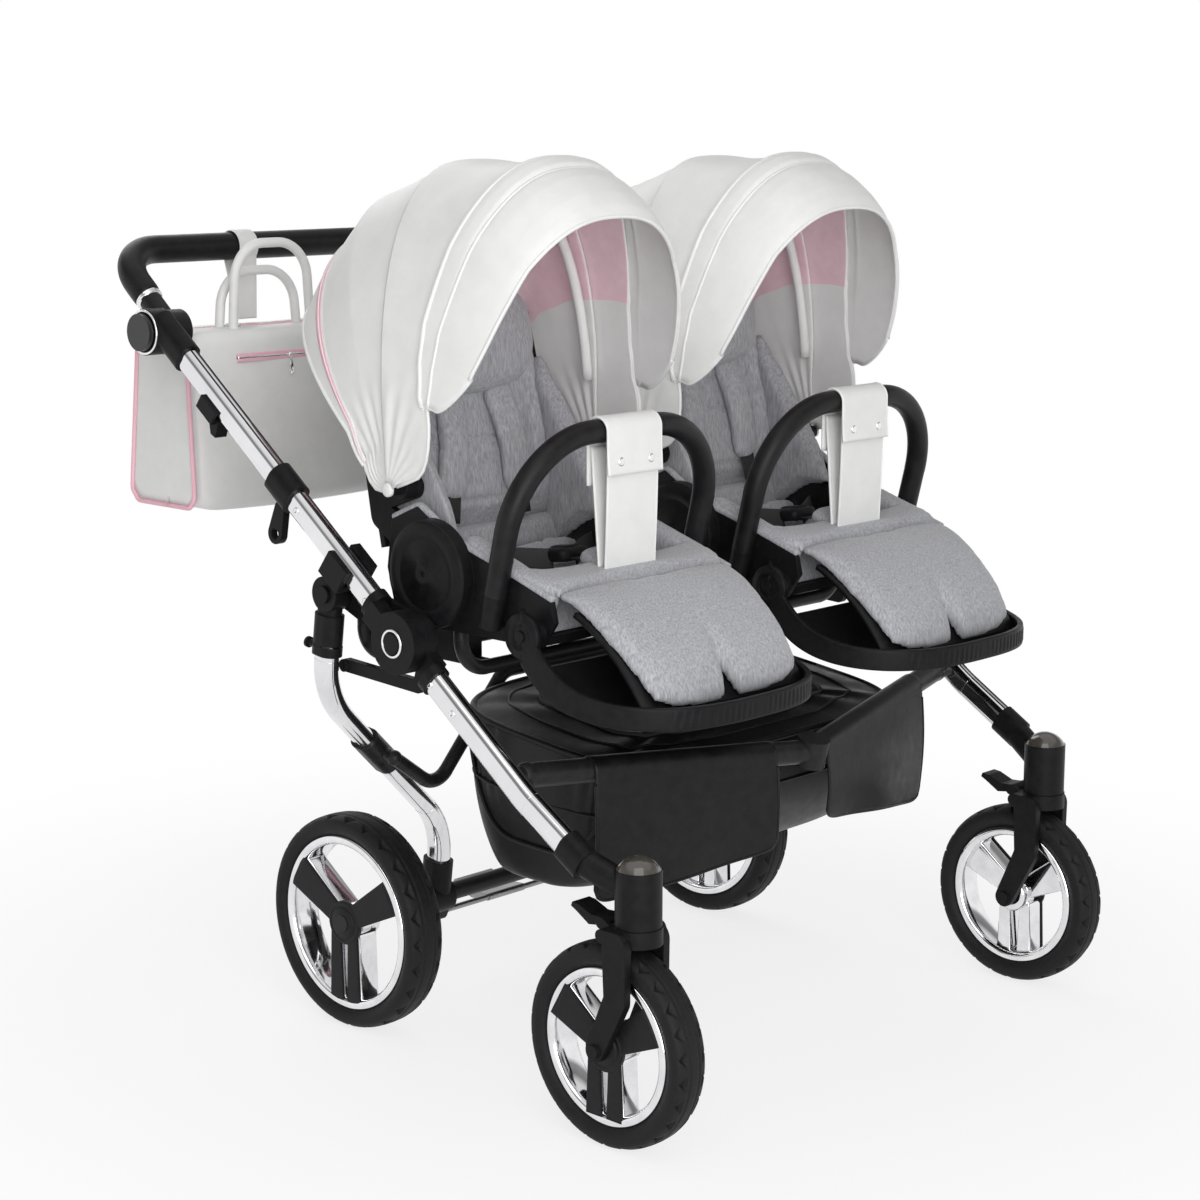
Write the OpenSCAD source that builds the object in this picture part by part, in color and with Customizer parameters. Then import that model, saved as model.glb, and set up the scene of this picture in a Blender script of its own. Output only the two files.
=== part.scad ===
// Twin pram: a side-by-side pushchair with a folding tube chassis and two reclining seats.
// Front faces -Y, +Z is up, left is +X. The origin is on the ground under the middle.

/* [Wheels] */
// Outside diameter of a rear tyre
rear_wheel_d = 280; // [260:2:300]
// Width of a rear tyre
rear_tyre_w = 54; // [44:1:60]
// Radial depth of a rear tyre
rear_tyre_depth = 25; // [18:1:32]
// How far the rear wheels stand inside the side tubes
rear_inset = 83; // [75:1:92]
// Outside diameter of a front tyre
front_wheel_d = 242; // [230:2:250]
// Width of a front tyre
front_tyre_w = 48; // [40:1:52]
// Radial depth of a front tyre
front_tyre_depth = 27; // [20:1:32]
// How far the front wheels stand inside the side tubes
front_inset = 25; // [19:1:29]
// Distance between the rear and front axles
wheelbase = 515; // [505:1:530]
// How far a front wheel trails its swivel axis
caster_trail = 34; // [26:1:42]
// Diameter of the wheel axles
axle_d = 12; // [10:0.5:14]
// Diameter of a wheel hub
hub_d = 46; // [40:1:54]
// Radial wall of a rim ring
rim_wall = 11; // [8:1:14]
// Width of a tapered spoke at the rim
spoke_w = 46; // [36:1:54]
// Gap between the two bars of the lower spoke
spoke_gap = 10; // [8:1:18]

/* [Chassis] */
// Room from the inside of a seat tub to the side tube plane
side_room = 55; // [53:1:60]
// Depth of the oval side tube in the side view
tube_h = 34; // [30:1:36]
// Thickness of the oval side tube
tube_w = 24; // [20:1:26]
// Rear axle behind the middle
rear_axle_y = 106; // [98:1:114]
// Height of the main fold hinge
hinge_z = 546; // [540:1:552]
// Main fold hinge, distance in front of the middle
hinge_back = 87; // [82:1:92]
// Radius of the hinge discs
hinge_r = 38; // [34:1:42]
// Diameter of the hinge pins
hinge_pin_d = 16; // [12:1:18]
// Length of the upper tube line from the hinge to the handle joint
upper_len = 584; // [574:1:594]
// Main fold hinge to the bend of the lower tube
bend_reach = 203; // [196:1:210]
// Height of the bend of the lower tube
bend_z = 391; // [386:1:396]
// Diameter of the two seat carrier tubes
carrier_d = 18; // [14:1:22]
// Height of the carrier tubes
carrier_z = 503; // [498:1:508]
// Diameter of the front cross bar
front_bar_d = 30; // [26:1:34]

/* [Rear legs] */
// Leg pivot behind the hinge
leg_pivot_back = 133; // [129:1:137]
// Leg pivot above the hinge
leg_pivot_up = 41; // [38:1:44]
// Diameter of a leg pivot pin
leg_pin_d = 14; // [10:1:16]
// How far the leg feet stand inside the side tubes
foot_inset = 220; // [211:1:227]
// Bend radius of the legs
leg_bend_r = 110; // [90:2:120]
// Diameter of the basket hoop tube
hoop_d = 18; // [14:1:20]
// Diameter of the brake rod
brake_rod_d = 8; // [6:0.5:9]

/* [Handle] */
// Length of a handle arm from its joint to the bar
handle_arm = 155; // [150:1:164]
// Lean of the handle arms above level
handle_lean = 39; // [34:1:44]
// Diameter of the bare handle tube
handle_tube_d = 30; // [26:1:31]
// Diameter of the wrapped grip
grip_d = 37.5; // [35:0.5:40]
// Corner radius of the handle
handle_corner_r = 65; // [56:1:76]
// Radius of the handle joint discs
joint_r = 30; // [27:1:33]
// Travel of the joint buttons
button_travel = 3; // [2:0.5:4]
// Travel of the fold triggers
trigger_travel = 20; // [12:1:24]

/* [Seats] */
// Half the room between the insides of the two seat tubs
seat_room = 70; // [69:0.5:72]
// Inside width of a seat tub
tub_w = 300; // [292:1:304]
// Wall of a seat tub
tub_wall = 8; // [6:0.5:9]
// Underside of the seat tub above the ground
tub_z = 556; // [552:1:560]
// Radius of the recline hub
recline_r = 66; // [58:1:68]
// Thickness of the seat cushion at its crown
seat_pad_t = 50; // [40:1:56]
// Thickness of the backrest cushion
back_pad_t = 32; // [26:1:36]
// Height of the backrest
back_len = 330; // [310:2:340]
// Lean of the backrest
back_lean = 12; // [8:0.5:14]

/* [Canopies] */
// Radius of the front canopy shell at its crown
canopy_r = 384; // [370:1:390]
// How much wider than the tub the front canopy shell is, each side
canopy_lap = 34; // [31:0.5:35]
// Thickness of the canopy cloth and lining
canopy_t = 3.5; // [2.5:0.25:4]
// Angle of the brim above level, from the rear
brim_angle = 122; // [116:1:126]
// Angle of the seam between the two shells
canopy_seam_angle = 84; // [80:1:88]
// Angle of the rear hem
hem_angle = 38; // [34:1:42]

/* [Bumpers and footrests] */
// Diameter of the bumper bars
bumper_d = 28; // [24:1:30]
// How far outside the tub's inside a bumper leg stands
bumper_lap = 20; // [18:0.5:21]
// Height of a bumper bar above its sockets
bumper_rise = 190; // [176:1:200]
// Bend radius of the bumper bars
bumper_bend_r = 115; // [100:1:125]
// Width of a bumper strap
strap_w = 90; // [80:1:100]
// Thickness of a bumper strap
strap_t = 4; // [3:0.5:5]
// Thickness of a footrest arm
foot_arm_t = 10; // [8:0.5:11]
// Gap at each side of a leg cover in the tub
cover_gap = 5; // [0:1:15]
// Thickness of a leg cover
cover_t = 26; // [20:1:30]

/* [Basket and bag] */
// How far the basket hangs inside the side tubes
basket_inset = 140; // [130:1:160]
// Half the length of the basket at the top
basket_half_l = 172; // [160:1:174]
// Height of the basket floor
basket_z = 200; // [192:1:210]
// Wall of the basket
basket_wall = 5; // [3:0.5:7]
// Depth of the front flaps
flap_h = 110; // [90:1:120]
// Width of the bag
bag_w = 370; // [340:2:384]
// Height of the bag
bag_h = 240; // [220:2:244]
// Wall of the bag
bag_wall = 5; // [3:0.5:7]
// Width of the strap that hangs the bag on the push bar
hang_w = 32; // [26:1:40]

/* [Hidden] */
$fn = 48;

// Fits: a running pin, a glued or clamped seat, and clear air between moving pieces
run_fit = 0.05;
seat_fit = 0.2;
air = 0.3;
bend_lap = 0.5;
bend_grow = 0.25;

// Widths, from the middle outwards
seat_x = tub_w / 2 + seat_room;
frame_half_w = seat_x + tub_w / 2 + side_room;
rear_half_track = frame_half_w - rear_inset;
front_half_track = frame_half_w - front_inset;
foot_half_w = frame_half_w - foot_inset;
canopy_half_w = tub_w / 2 + canopy_lap;
bumper_half_w = tub_w / 2 + bumper_lap;
cover_w = tub_w - 2 * cover_gap;
basket_half_w = frame_half_w - basket_inset;
carrier_half_w = tub_w / 2 - 10;
rail_half_w = tub_w / 2 - 65;

// Side view points are [y, z]
hinge = [-hinge_back, hinge_z];
front_axle_y = rear_axle_y - wheelbase;
swivel_y = front_axle_y - caster_trail;
rear_wheel_r = rear_wheel_d / 2;
front_wheel_r = front_wheel_d / 2;
bend = [hinge[0] - bend_reach, bend_z];
line_dir = unit(hinge - bend);
line_up = [-line_dir[1], line_dir[0]];
tube_in = frame_half_w - tube_w / 2;
tube_out = frame_half_w + tube_w / 2;

// Hinge: the root half lies inside the tube plane, the upper half outside it
hinge_in = frame_half_w - 17;
hinge_out = frame_half_w + 20;
collar_start = 56;
collar_len = 13;
collar_wall = 3.5;
tube_start = 57;

// Swivel housings and forks
housing_r = 27;
housing_h = 66;
fork_top = front_wheel_d + 26;
housing_z = fork_top + air;
cap_h = 16;
kingpin_d = 16;
fork_gap = 3;
fork_arm_t = 10;
fork_in = front_tyre_w / 2 + fork_gap;
lower_end = [swivel_y + 66, bend_z - 54];
lock_pivot = [swivel_y + 40, fork_top - 1];
lock_pin_d = 6;
lock_half_w = 14;
ear_t = 6;

// Leg pivot, leg line and foot
leg_pivot = hinge + [leg_pivot_back, leg_pivot_up];
leg_dir3 = unit([0, rear_axle_y - leg_pivot[0], rear_wheel_r - leg_pivot[1]]);
leg_norm = cross([1, 0, 0], leg_dir3);
leg_len = norm([rear_axle_y - leg_pivot[0], rear_wheel_r - leg_pivot[1]]);
guide_in = frame_half_w - 27;
guide_out = hinge_in;
guide_end = leg_pivot + [-3, -92];
saddle_s = 129;
socket_head_r = 22;
socket_len = 64;

// Handle joint and bar
handle_drop = 18;
handle_joint = along(upper_len, -handle_drop);
handle_dir = [cos(handle_lean), sin(handle_lean)];
bar = handle_joint + handle_arm * handle_dir;
handle_norm = [0, -handle_dir[1], handle_dir[0]];
joint_in = tube_in - 1;
joint_out = frame_half_w + 15;
joint_gap = 1;
joint_pin_d = 14;
joint_pin_len = 12;
handle_half_w = joint_in - joint_gap - handle_tube_d / 2;

// Seats
carrier_rear_y = leg_pivot[0] - 16;
carrier_front_y = carrier_rear_y - 145;
seat_at = [carrier_front_y, tub_z];
recline = seat_at + [24, 67];
floor_t = 10;
tub_out = tub_w / 2 + tub_wall;
hub_out = tub_out + 16;
back_dir = [sin(back_lean), cos(back_lean)];
back_fwd = [-back_dir[1], back_dir[0]];
back_foot = seat_at + [93, 92];
back_plate_t = 8;
arm_t = 9;
arm_out = tub_w / 2 - 3;
arm_in = arm_out - arm_t;
canopy_pivot = seat_at + [79, 164];
canopy_pin_d = 16;
hub_pin_d = 18;

// Bumper and footrest
bumper_foot = seat_at + [-91, 56];
bumper_dir = unit([0, -48, 194]);
bumper_norm = cross([1, 0, 0], bumper_dir);
plug_d = 16;
plug_len = 34;
socket_r = 13.5;
bumper_top = bumper_foot + bumper_rise * [bumper_dir[1], bumper_dir[2]];
foot_pivot = seat_at + [-147, 17];
foot_pin_d = 14;
foot_in = hub_out + 2;
board_r = 4;

// Carriers, hoop, front bar, basket and bag
carrier_end = guide_in - 12;
carrier_bend_r = 40;
rail_x = [seat_x - rail_half_w, seat_x + rail_half_w];
bar_end = bend + [28, 17];
bar_mid = bend + [-75, -8];
bar_end_x = tube_in - front_bar_d / 2 - 2;
bar_slope = (bar_end[0] - bar_mid[0]) / bar_end_x;
hoop_x = frame_half_w - 93;
hoop_s = 221;
hoop_y = leg_pivot[0] - 6;
basket_mid_y = hoop_y - 186;
bag_right = -handle_half_w + grip_d / 2 + 5;
bag_drop = 102;
bag_top = bar[1] - bag_drop;
bag_front = bar[0] - 136.5;
bag_rear = bar[0] + 18.5;

function unit(v) = v / norm(v);
function along(s, t = 0) = hinge + s * line_dir + t * line_up;
function p3(x, q) = [x, q[0], q[1]];
function leg_at(x, s) = p3(x, leg_pivot) + s * leg_dir3;
function bumper_at(x, s) = p3(x, bumper_foot) + s * bumper_dir;

// Left and right copies of a piece drawn on the left
module pair() {
  children();
  mirror([1, 0, 0]) children();
}

// One piece drawn on the left, put on the named side
module on_side(side) {
  if (side > 0) children();
  else mirror([1, 0, 0]) children();
}

module frame_at(o, x, y, z) {
  multmatrix([[x[0], y[0], z[0], o[0]], [x[1], y[1], z[1], o[1]],
              [x[2], y[2], z[2], o[2]], [0, 0, 0, 1]]) children();
}

// Side view outline [y, z] extruded from x0 to x1
module slab(x0, x1) {
  frame_at([x0, 0, 0], [0, 1, 0], [0, 0, 1], [1, 0, 0]) linear_extrude(x1 - x0) children();
}

// Round bar along X at a side view point
module pin_x(q, d, x0, x1) {
  slab(x0, x1) translate(q) circle(d = d);
}

// Straight run of a flat section from a to b, with its second axis along n
module run(a, b, n) {
  d = unit(b - a);
  frame_at(a, cross(n, d), n, d) linear_extrude(norm(b - a)) children();
}

// Planar path of an oval section, straight runs and true arcs; n is the normal of its plane.
// The arcs are a hair thicker, and the runs reach a little way into them.
module bent(pts, r, n, h, w) {
  last = len(pts) - 1;
  d = [for (i = [0:last - 1]) unit(pts[i + 1] - pts[i])];
  t = [for (i = [0:last]) (i == 0 || i == last) ? 0
         : r * tan(acos(d[i - 1] * d[i]) / 2) - bend_lap];
  for (i = [0:last - 1])
    run(pts[i] + t[i] * d[i], pts[i + 1] - t[i + 1] * d[i], n) oval(h, w);
  for (i = [1:1:last - 1]) {
    s = sign(cross(d[i - 1], d[i]) * n);
    a = pts[i] - (t[i] + bend_lap) * d[i - 1];
    c = a + r * s * cross(n, d[i - 1]);
    x = unit(a - c);
    frame_at(c, x, cross(s * n, x), s * n) rotate_extrude(angle = acos(d[i - 1] * d[i]))
      translate([r, 0]) oval(h + 2 * bend_grow, w + 2 * bend_grow);
  }
}

// Oval section: h along the first axis, w along the second
module oval(h, w) {
  if (h == w) {
    circle(d = h);
  } else if (h > w) {
    square([h - w, w], center = true);
    for (s = [-1, 1]) translate([s * (h - w) / 2, 0]) circle(d = w);
  } else {
    square([h, w - h], center = true);
    for (s = [-1, 1]) translate([0, s * (w - h) / 2]) circle(d = h);
  }
}

// Flat link between two points with round ends of radius r1 and r2
module link2d(p, q, r1, r2) {
  a = atan2(q[1] - p[1], q[0] - p[0]);
  b = acos((r1 - r2) / norm(q - p));
  translate(p) circle(r1);
  translate(q) circle(r2);
  polygon([p + r1 * [cos(a + b), sin(a + b)], q + r2 * [cos(a + b), sin(a + b)],
           q + r2 * [cos(a - b), sin(a - b)], p + r1 * [cos(a - b), sin(a - b)]]);
}

module strip2d(pts, r) {
  for (i = [0:len(pts) - 2]) link2d(pts[i], pts[i + 1], r, r);
}

// Run of the oval side tube, grown by g all round
module side_tube(s0, s1, g = 0) {
  run(p3(frame_half_w, along(s0)), p3(frame_half_w, along(s1)), [1, 0, 0])
    oval(tube_h + 2 * g, tube_w + 2 * g);
}

// Soft form: a grid of points over u and v in -1 to 1, top and bottom joined at the rim
module soft_grid(top, bottom, nu, nv) {
  w = nu + 1;
  n = w * (nv + 1);
  faces_top = [for (j = [0:nv - 1]) for (i = [0:nu - 1]) let (a = j * w + i)
                 each [[a, a + w + 1, a + 1], [a, a + w, a + w + 1]]];
  faces_low = [for (f = faces_top) [f[0] + n, f[2] + n, f[1] + n]];
  rim = concat([for (i = [0:nu - 1]) i], [for (j = [0:nv - 1]) j * w + nu],
               [for (i = [nu:-1:1]) nv * w + i], [for (j = [nv:-1:1]) j * w]);
  m = len(rim);
  faces_rim = [for (k = [0:m - 1]) let (a = rim[k], b = rim[(k + 1) % m])
                 each [[a, b, b + n], [a, b + n, a + n]]];
  polyhedron(concat(top, bottom), concat(faces_top, faces_low, faces_rim));
}

function spread(n) = [for (i = [0:n]) -1 + 2 * i / n];
// Crown of a cushion: full in the middle, drawn down at its edges
function crown(u, v) = pow(max(0, (1 - pow(u, 4)) * (1 - pow(v, 4))), 0.5);
function channel(x, w) = exp(-(x * x) / (w * w));

module lower_tubes() {
  color("silver") pair() {
    bent([p3(frame_half_w, along(-tube_start)), p3(frame_half_w, bend),
          p3(frame_half_w, lower_end)], 200, [1, 0, 0], tube_h, tube_w);
  }
}

// Half of the fold hinge: a disc, a neck and a collar round its tube
module hinge_half(x0, x1, dir) {
  pin_x(hinge, 2 * hinge_r, x0, x1);
  slab(x0, x1) polygon([along(dir * 20, -15), along(dir * 20, 15),
    along(dir * (tube_start - seat_fit), 15), along(dir * (tube_start - seat_fit), -15)]);
  difference() {
    side_tube(dir * collar_start, dir * (collar_start + collar_len), collar_wall);
    side_tube(dir * tube_start, dir * (collar_start + collar_len + 1), seat_fit);
  }
}

module hinge_bodies() {
  color("dimgray") pair() {
    hinge_half(hinge_in, frame_half_w - air / 2, -1);
    pin_x(hinge, hinge_pin_d, frame_half_w - 2, hinge_out + 3);
    pin_x(hinge, hinge_pin_d + 10, hinge_out + air, hinge_out + 3);
  }
}

module hinge_knuckles() {
  color("black") pair() difference() {
    hinge_half(frame_half_w + air / 2, hinge_out, 1);
    pin_x(hinge, hinge_pin_d + 2 * run_fit, frame_half_w - 1, hinge_out + 1);
  }
}

// Plate inside the hinge that carries the leg pivot, the saddle and the stop arm
module leg_guides() {
  saddle_low = -tube_h / 2 - 7;
  color("black") pair() {
    slab(guide_in, guide_out) difference() {
      union() {
        link2d(hinge, leg_pivot, 30, 18);
        polygon([along(saddle_s - 20, saddle_low), along(saddle_s - 20, 15),
                 along(saddle_s + 20, 15), along(saddle_s + 20, saddle_low)]);
        strip2d([hinge + [-12, -22], hinge + [-2, -58], guide_end], 8);
      }
    }
    slab(guide_in, tube_out + air + 8) polygon([
      along(saddle_s - 20, saddle_low), along(saddle_s - 20, saddle_low + 7 - air),
      along(saddle_s + 20, saddle_low + 7 - air), along(saddle_s + 20, saddle_low)]);
    slab(tube_out + air, tube_out + air + 8) polygon([
      along(saddle_s - 20, saddle_low), along(saddle_s - 20, 10),
      along(saddle_s + 20, 10), along(saddle_s + 20, saddle_low)]);
    slab(guide_out - 1, tube_in - air) polygon([
      along(saddle_s - 20, saddle_low), along(saddle_s - 20, 15),
      along(saddle_s + 20, 15), along(saddle_s + 20, saddle_low)]);
    pin_x(leg_pivot, leg_pin_d, guide_in + 2, tube_out + 4);
    pin_x(leg_pivot, leg_pin_d + 8, tube_out + air, tube_out + 4);
    pin_x(guide_end, 16, guide_in, tube_in - 2);
  }
}

module front_brackets() {
  color("black") pair() difference() {
    union() {
      translate([front_half_track, swivel_y, housing_z]) cylinder(r = housing_r, h = housing_h);
      run(p3(frame_half_w, lower_end), [front_half_track, swivel_y, housing_z + 36],
          unit([1, 0.3, 0])) oval(44, 30);
      run(p3(frame_half_w, lower_end) - unit(p3(0, lower_end - bend)) * 26,
          p3(frame_half_w, lower_end) + unit(p3(0, lower_end - bend)) * 10, [1, 0, 0])
        oval(tube_h + 2 * collar_wall, tube_w + 2 * collar_wall);
    }
    run(p3(frame_half_w, lower_end) - unit(p3(0, lower_end - bend)) * 40,
        p3(frame_half_w, lower_end) + unit(p3(0, lower_end - bend)) * seat_fit, [1, 0, 0])
      oval(tube_h + 2 * seat_fit, tube_w + 2 * seat_fit);
    translate([front_half_track, swivel_y, housing_z - 1])
      cylinder(d = kingpin_d + 2 * run_fit, h = housing_h - 9);
    translate([front_half_track, swivel_y, housing_z + housing_h])
      cylinder(r = housing_r - 1 + seat_fit, h = 40);
  }
}

module swivel_caps() {
  cap_r = housing_r - 1;
  ball_r = (cap_r * cap_r + cap_h * cap_h) / (2 * cap_h);
  color("dimgray") pair()
    translate([front_half_track, swivel_y, housing_z + housing_h]) intersection() {
      cylinder(r = cap_r, h = cap_h + 1);
      translate([0, 0, cap_h - ball_r]) sphere(r = ball_r, $fn = 96);
    }
}

module seat_carriers() {
  rear_top = leg_pivot[1] - 13;
  color("black") {
    bent([[-carrier_end, carrier_rear_y, rear_top], [-carrier_end, carrier_rear_y, carrier_z],
          [carrier_end, carrier_rear_y, carrier_z], [carrier_end, carrier_rear_y, rear_top]],
         carrier_bend_r, [0, 1, 0], carrier_d, carrier_d);
    bent([[-seat_x - carrier_half_w, carrier_front_y, tub_z - seat_fit],
          [-seat_x - carrier_half_w, carrier_front_y, carrier_z],
          [seat_x + carrier_half_w, carrier_front_y, carrier_z],
          [seat_x + carrier_half_w, carrier_front_y, tub_z - seat_fit]],
         carrier_bend_r, [0, 1, 0], carrier_d, carrier_d);
    pair() {
      for (x = rail_x)
        run([x, carrier_rear_y, carrier_z], [x, carrier_front_y, carrier_z], [0, 0, 1])
          circle(d = carrier_d - 4);
      pin_x([carrier_rear_y, rear_top - 3], carrier_d + 6, carrier_end - 3, guide_in);
    }
  }
}

module seat_adaptors() {
  block_l = 70;
  rail_mid = (carrier_rear_y + carrier_front_y) / 2;
  color("black") pair() for (x = rail_x) difference() {
    translate([x - 15, rail_mid - block_l / 2, carrier_z - 2])
      cube([30, block_l, tub_z - seat_fit - carrier_z + 2]);
    run([x, carrier_rear_y, carrier_z], [x, carrier_front_y, carrier_z], [0, 0, 1])
      circle(d = carrier_d - 4 + 2 * seat_fit);
    translate([x - carrier_d / 2 + 2 - seat_fit, rail_mid - block_l, carrier_z - 20])
      cube([carrier_d - 4 + 2 * seat_fit, 2 * block_l, 20]);
  }
}

module front_bar() {
  left = p3(bar_end_x, bar_end);
  mid = p3(0, bar_mid);
  right = p3(-bar_end_x, bar_end);
  lean = unit(cross(mid - right, left - mid));
  color("black") {
    run(mid - lean * (front_bar_d / 2 + 3), mid + lean * (front_bar_d / 2 + 3), [1, 0, 0])
      circle(d = front_bar_d + 10);
    pair() {
      run(mid + 6 * unit(left - mid), left, lean) circle(d = front_bar_d);
      translate(left) sphere(d = front_bar_d + 2);
      pin_x(bar_end, front_bar_d - 4, bar_end_x, tube_in);
    }
  }
}

// How far behind the bent front bar the basket hangs at x
function behind_bar(x) = bar_mid[0] + bar_slope * abs(x)
  + (front_bar_d / 2 + 2 * air) * sqrt(1 + bar_slope * bar_slope);

// Plan outline of the basket at height share h, shrunk by g: a squared oval, wider behind
function basket_ring(h, g, n) = [for (k = [0:n - 1])
  let (a = 360 * k / n, c = cos(a), s = sin(a),
       p = s > 0 ? 0.55 : 0.32,
       wide = (basket_half_w - g) * (0.8 + 0.2 * sqrt(h)) * (s > 0 ? 1 : 1 - 0.1 * abs(s)),
       x = wide * sign(c) * pow(abs(c), p),
       y = max(basket_mid_y + (basket_half_l - g) * (0.86 + 0.14 * sqrt(h))
               * sign(s) * pow(abs(s), p), behind_bar(x) + g))
  [x, y, basket_z + g + (bar_mid[1] + 10 - basket_z - g + (y - bar_mid[0] - 45) * 0.12) * h]];

module basket() {
  n = 40;
  hs = [0, 0.06, 0.3, 0.65, 1];
  m = len(hs);
  rings = concat([for (h = hs) basket_ring(h, 0, n)],
                 [for (i = [m - 1:-1:0]) basket_ring(hs[i], basket_wall, n)]);
  pts = [for (r = rings) for (p = r) p];
  total = len(rings);
  walls = [for (j = [0:total - 2]) for (k = [0:n - 1])
             let (a = j * n + k, b = j * n + (k + 1) % n)
             each [[a, b + n, b], [a, a + n, b + n]]];
  floors = [for (k = [1:n - 2])
              each [[0, k, k + 1],
                    [(total - 1) * n, (total - 1) * n + k + 1, (total - 1) * n + k]]];
  color("black") polyhedron(pts, concat(walls, floors));
}

module basket_flaps() {
  mid = p3(0, bar_mid);
  left = p3(bar_end_x, bar_end);
  along_bar = unit(left - mid);
  out = unit(cross(along_bar, [0, 0, 1]));
  color("black") pair()
    frame_at(mid - [0, 0, front_bar_d / 2 + air], along_bar, out, cross(along_bar, out))
      translate([26, -2, 0]) cube([bar_end_x - 96, 4, flap_h]);
}

module seat_shell() {
  side_outline = [[93, 0], [110, 64], [101, 124], [55, 144], [-5, 108], [-85, 84],
                  [-169, 56], [-175, 32], [-153, 0]];
  difference() {
    union() {
      slab(-tub_w / 2 - 1, tub_w / 2 + 1)
        translate(seat_at + [-147, 0]) square([238, floor_t]);
      for (s = [-1, 1]) mirror([s < 0 ? 1 : 0, 0, 0]) {
        slab(tub_w / 2, tub_out) translate(seat_at) polygon(side_outline);
        pin_x(recline, 2 * recline_r, tub_out - 1, hub_out);
        run(bumper_at(bumper_half_w, -plug_len - 6), bumper_at(bumper_half_w, -air), [1, 0, 0])
          circle(r = socket_r);
        pin_x(foot_pivot, foot_pin_d + 16, tub_out - 1, foot_in - air);
        pin_x(foot_pivot, foot_pin_d, tub_out - 1, foot_in + foot_arm_t + 2);
      }
    }
    for (s = [-1, 1]) mirror([s < 0 ? 1 : 0, 0, 0]) {
      pin_x(recline, hub_pin_d + 2 * run_fit, 0, hub_out - 4);
      run(bumper_at(bumper_half_w, -plug_len - 1), bumper_at(bumper_half_w, 5), [1, 0, 0])
        circle(d = plug_d + 2 * run_fit);
      run(bumper_at(bumper_half_w, -air), bumper_at(bumper_half_w, 70), [1, 0, 0])
        circle(d = bumper_d + 2 * air);
    }
  }
}

module seat_shells() {
  color("black") pair() translate([seat_x, 0, 0]) seat_shell();
}

module seat_pads() {
  nu = 16;
  nv = 14;
  half_w = arm_in - 4;
  y0 = seat_at[0] - 141;
  y1 = seat_at[0] + 57;
  z0 = tub_z + floor_t + air;
  grid = [for (v = spread(nv)) for (u = spread(nu)) [u, v]];
  function px(u, v) = u * half_w * (1 - 0.02 * (1 - v * v));
  function py(u, v) = (y0 + y1) / 2 + v * (y1 - y0) / 2 * (1 - 0.03 * (1 - u * u));
  function pz(u, v) = z0 + 16 + (seat_pad_t - 16) * crown(u, v)
    * (1 - 0.16 * channel(u - 0.45, 0.08) - 0.16 * channel(u + 0.45, 0.08));
  top = [for (g = grid) [px(g[0], g[1]), py(g[0], g[1]), pz(g[0], g[1])]];
  low = [for (g = grid) [px(g[0], g[1]) * 0.985, py(g[0], g[1]) + 2 * (0 - g[1]), z0]];
  color("darkgray") pair() translate([seat_x, 0, 0]) soft_grid(top, low, nu, nv);
}

module harnesses() {
  belt_w = 26;
  buckle_z = tub_z + floor_t + seat_pad_t + 2 * air;
  color("black") pair() translate([seat_x, seat_at[0], buckle_z]) {
    translate([-24, -75, 0]) cube([48, 42, 18]);
    translate([-belt_w / 2, -117, 2]) cube([belt_w, 44, 4]);
    for (s = [-1, 1]) mirror([s < 0 ? 1 : 0, 0, 0])
      translate([22, -53, 4]) rotate([0, 0, 14]) cube([74, belt_w, 4]);
  }
}

module upper_tubes() {
  color("silver") pair() side_tube(tube_start, upper_len - joint_r - 4);
}

module hook_clamps() {
  s0 = 246;
  color("black") pair() {
    difference() {
      side_tube(s0, s0 + 44, 5);
      side_tube(s0 - 1, s0 + 45, seat_fit);
    }
    slab(frame_half_w - 5, frame_half_w + 5) difference() {
      link2d(along(s0 + 14, -tube_h / 2 - 10), along(s0 + 2, -tube_h / 2 - 42), 9, 13);
      translate(along(s0 + 2, -tube_h / 2 - 42)) circle(r = 7);
      polygon([along(s0 - 10, 0), along(s0 + 50, 0),
               along(s0 + 50, -tube_h / 2 - 2), along(s0 - 10, -tube_h / 2 - 2)]);
    }
  }
}

module handle_sockets() {
  color("black") pair() difference() {
    union() {
      pin_x(handle_joint, 2 * joint_r, joint_in, joint_out);
      side_tube(upper_len - joint_r - 44, upper_len - 4, 4);
    }
    side_tube(upper_len - joint_r - 50, upper_len - joint_r - 4 + seat_fit, seat_fit);
    pin_x(handle_joint, 2 * joint_r - 22, joint_out - button_travel - 5, joint_out + 5);
    pin_x(handle_joint, 2 * joint_r - 12 + 2 * run_fit, joint_out, joint_out + 5);
    pin_x(handle_joint, 2 * joint_r + 1, joint_in - 10, joint_in);
    pin_x(handle_joint, joint_pin_d + 2 * run_fit, joint_in - 1, joint_in + joint_pin_len + air);
  }
}

module handle_button(side) {
  color("black") on_side(side) {
    pin_x(handle_joint, 2 * joint_r - 22 - 2 * run_fit, joint_out - 4, joint_out + 4);
    pin_x(handle_joint, 2 * joint_r - 12, joint_out + button_travel + air, joint_out + 10);
  }
}

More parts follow.
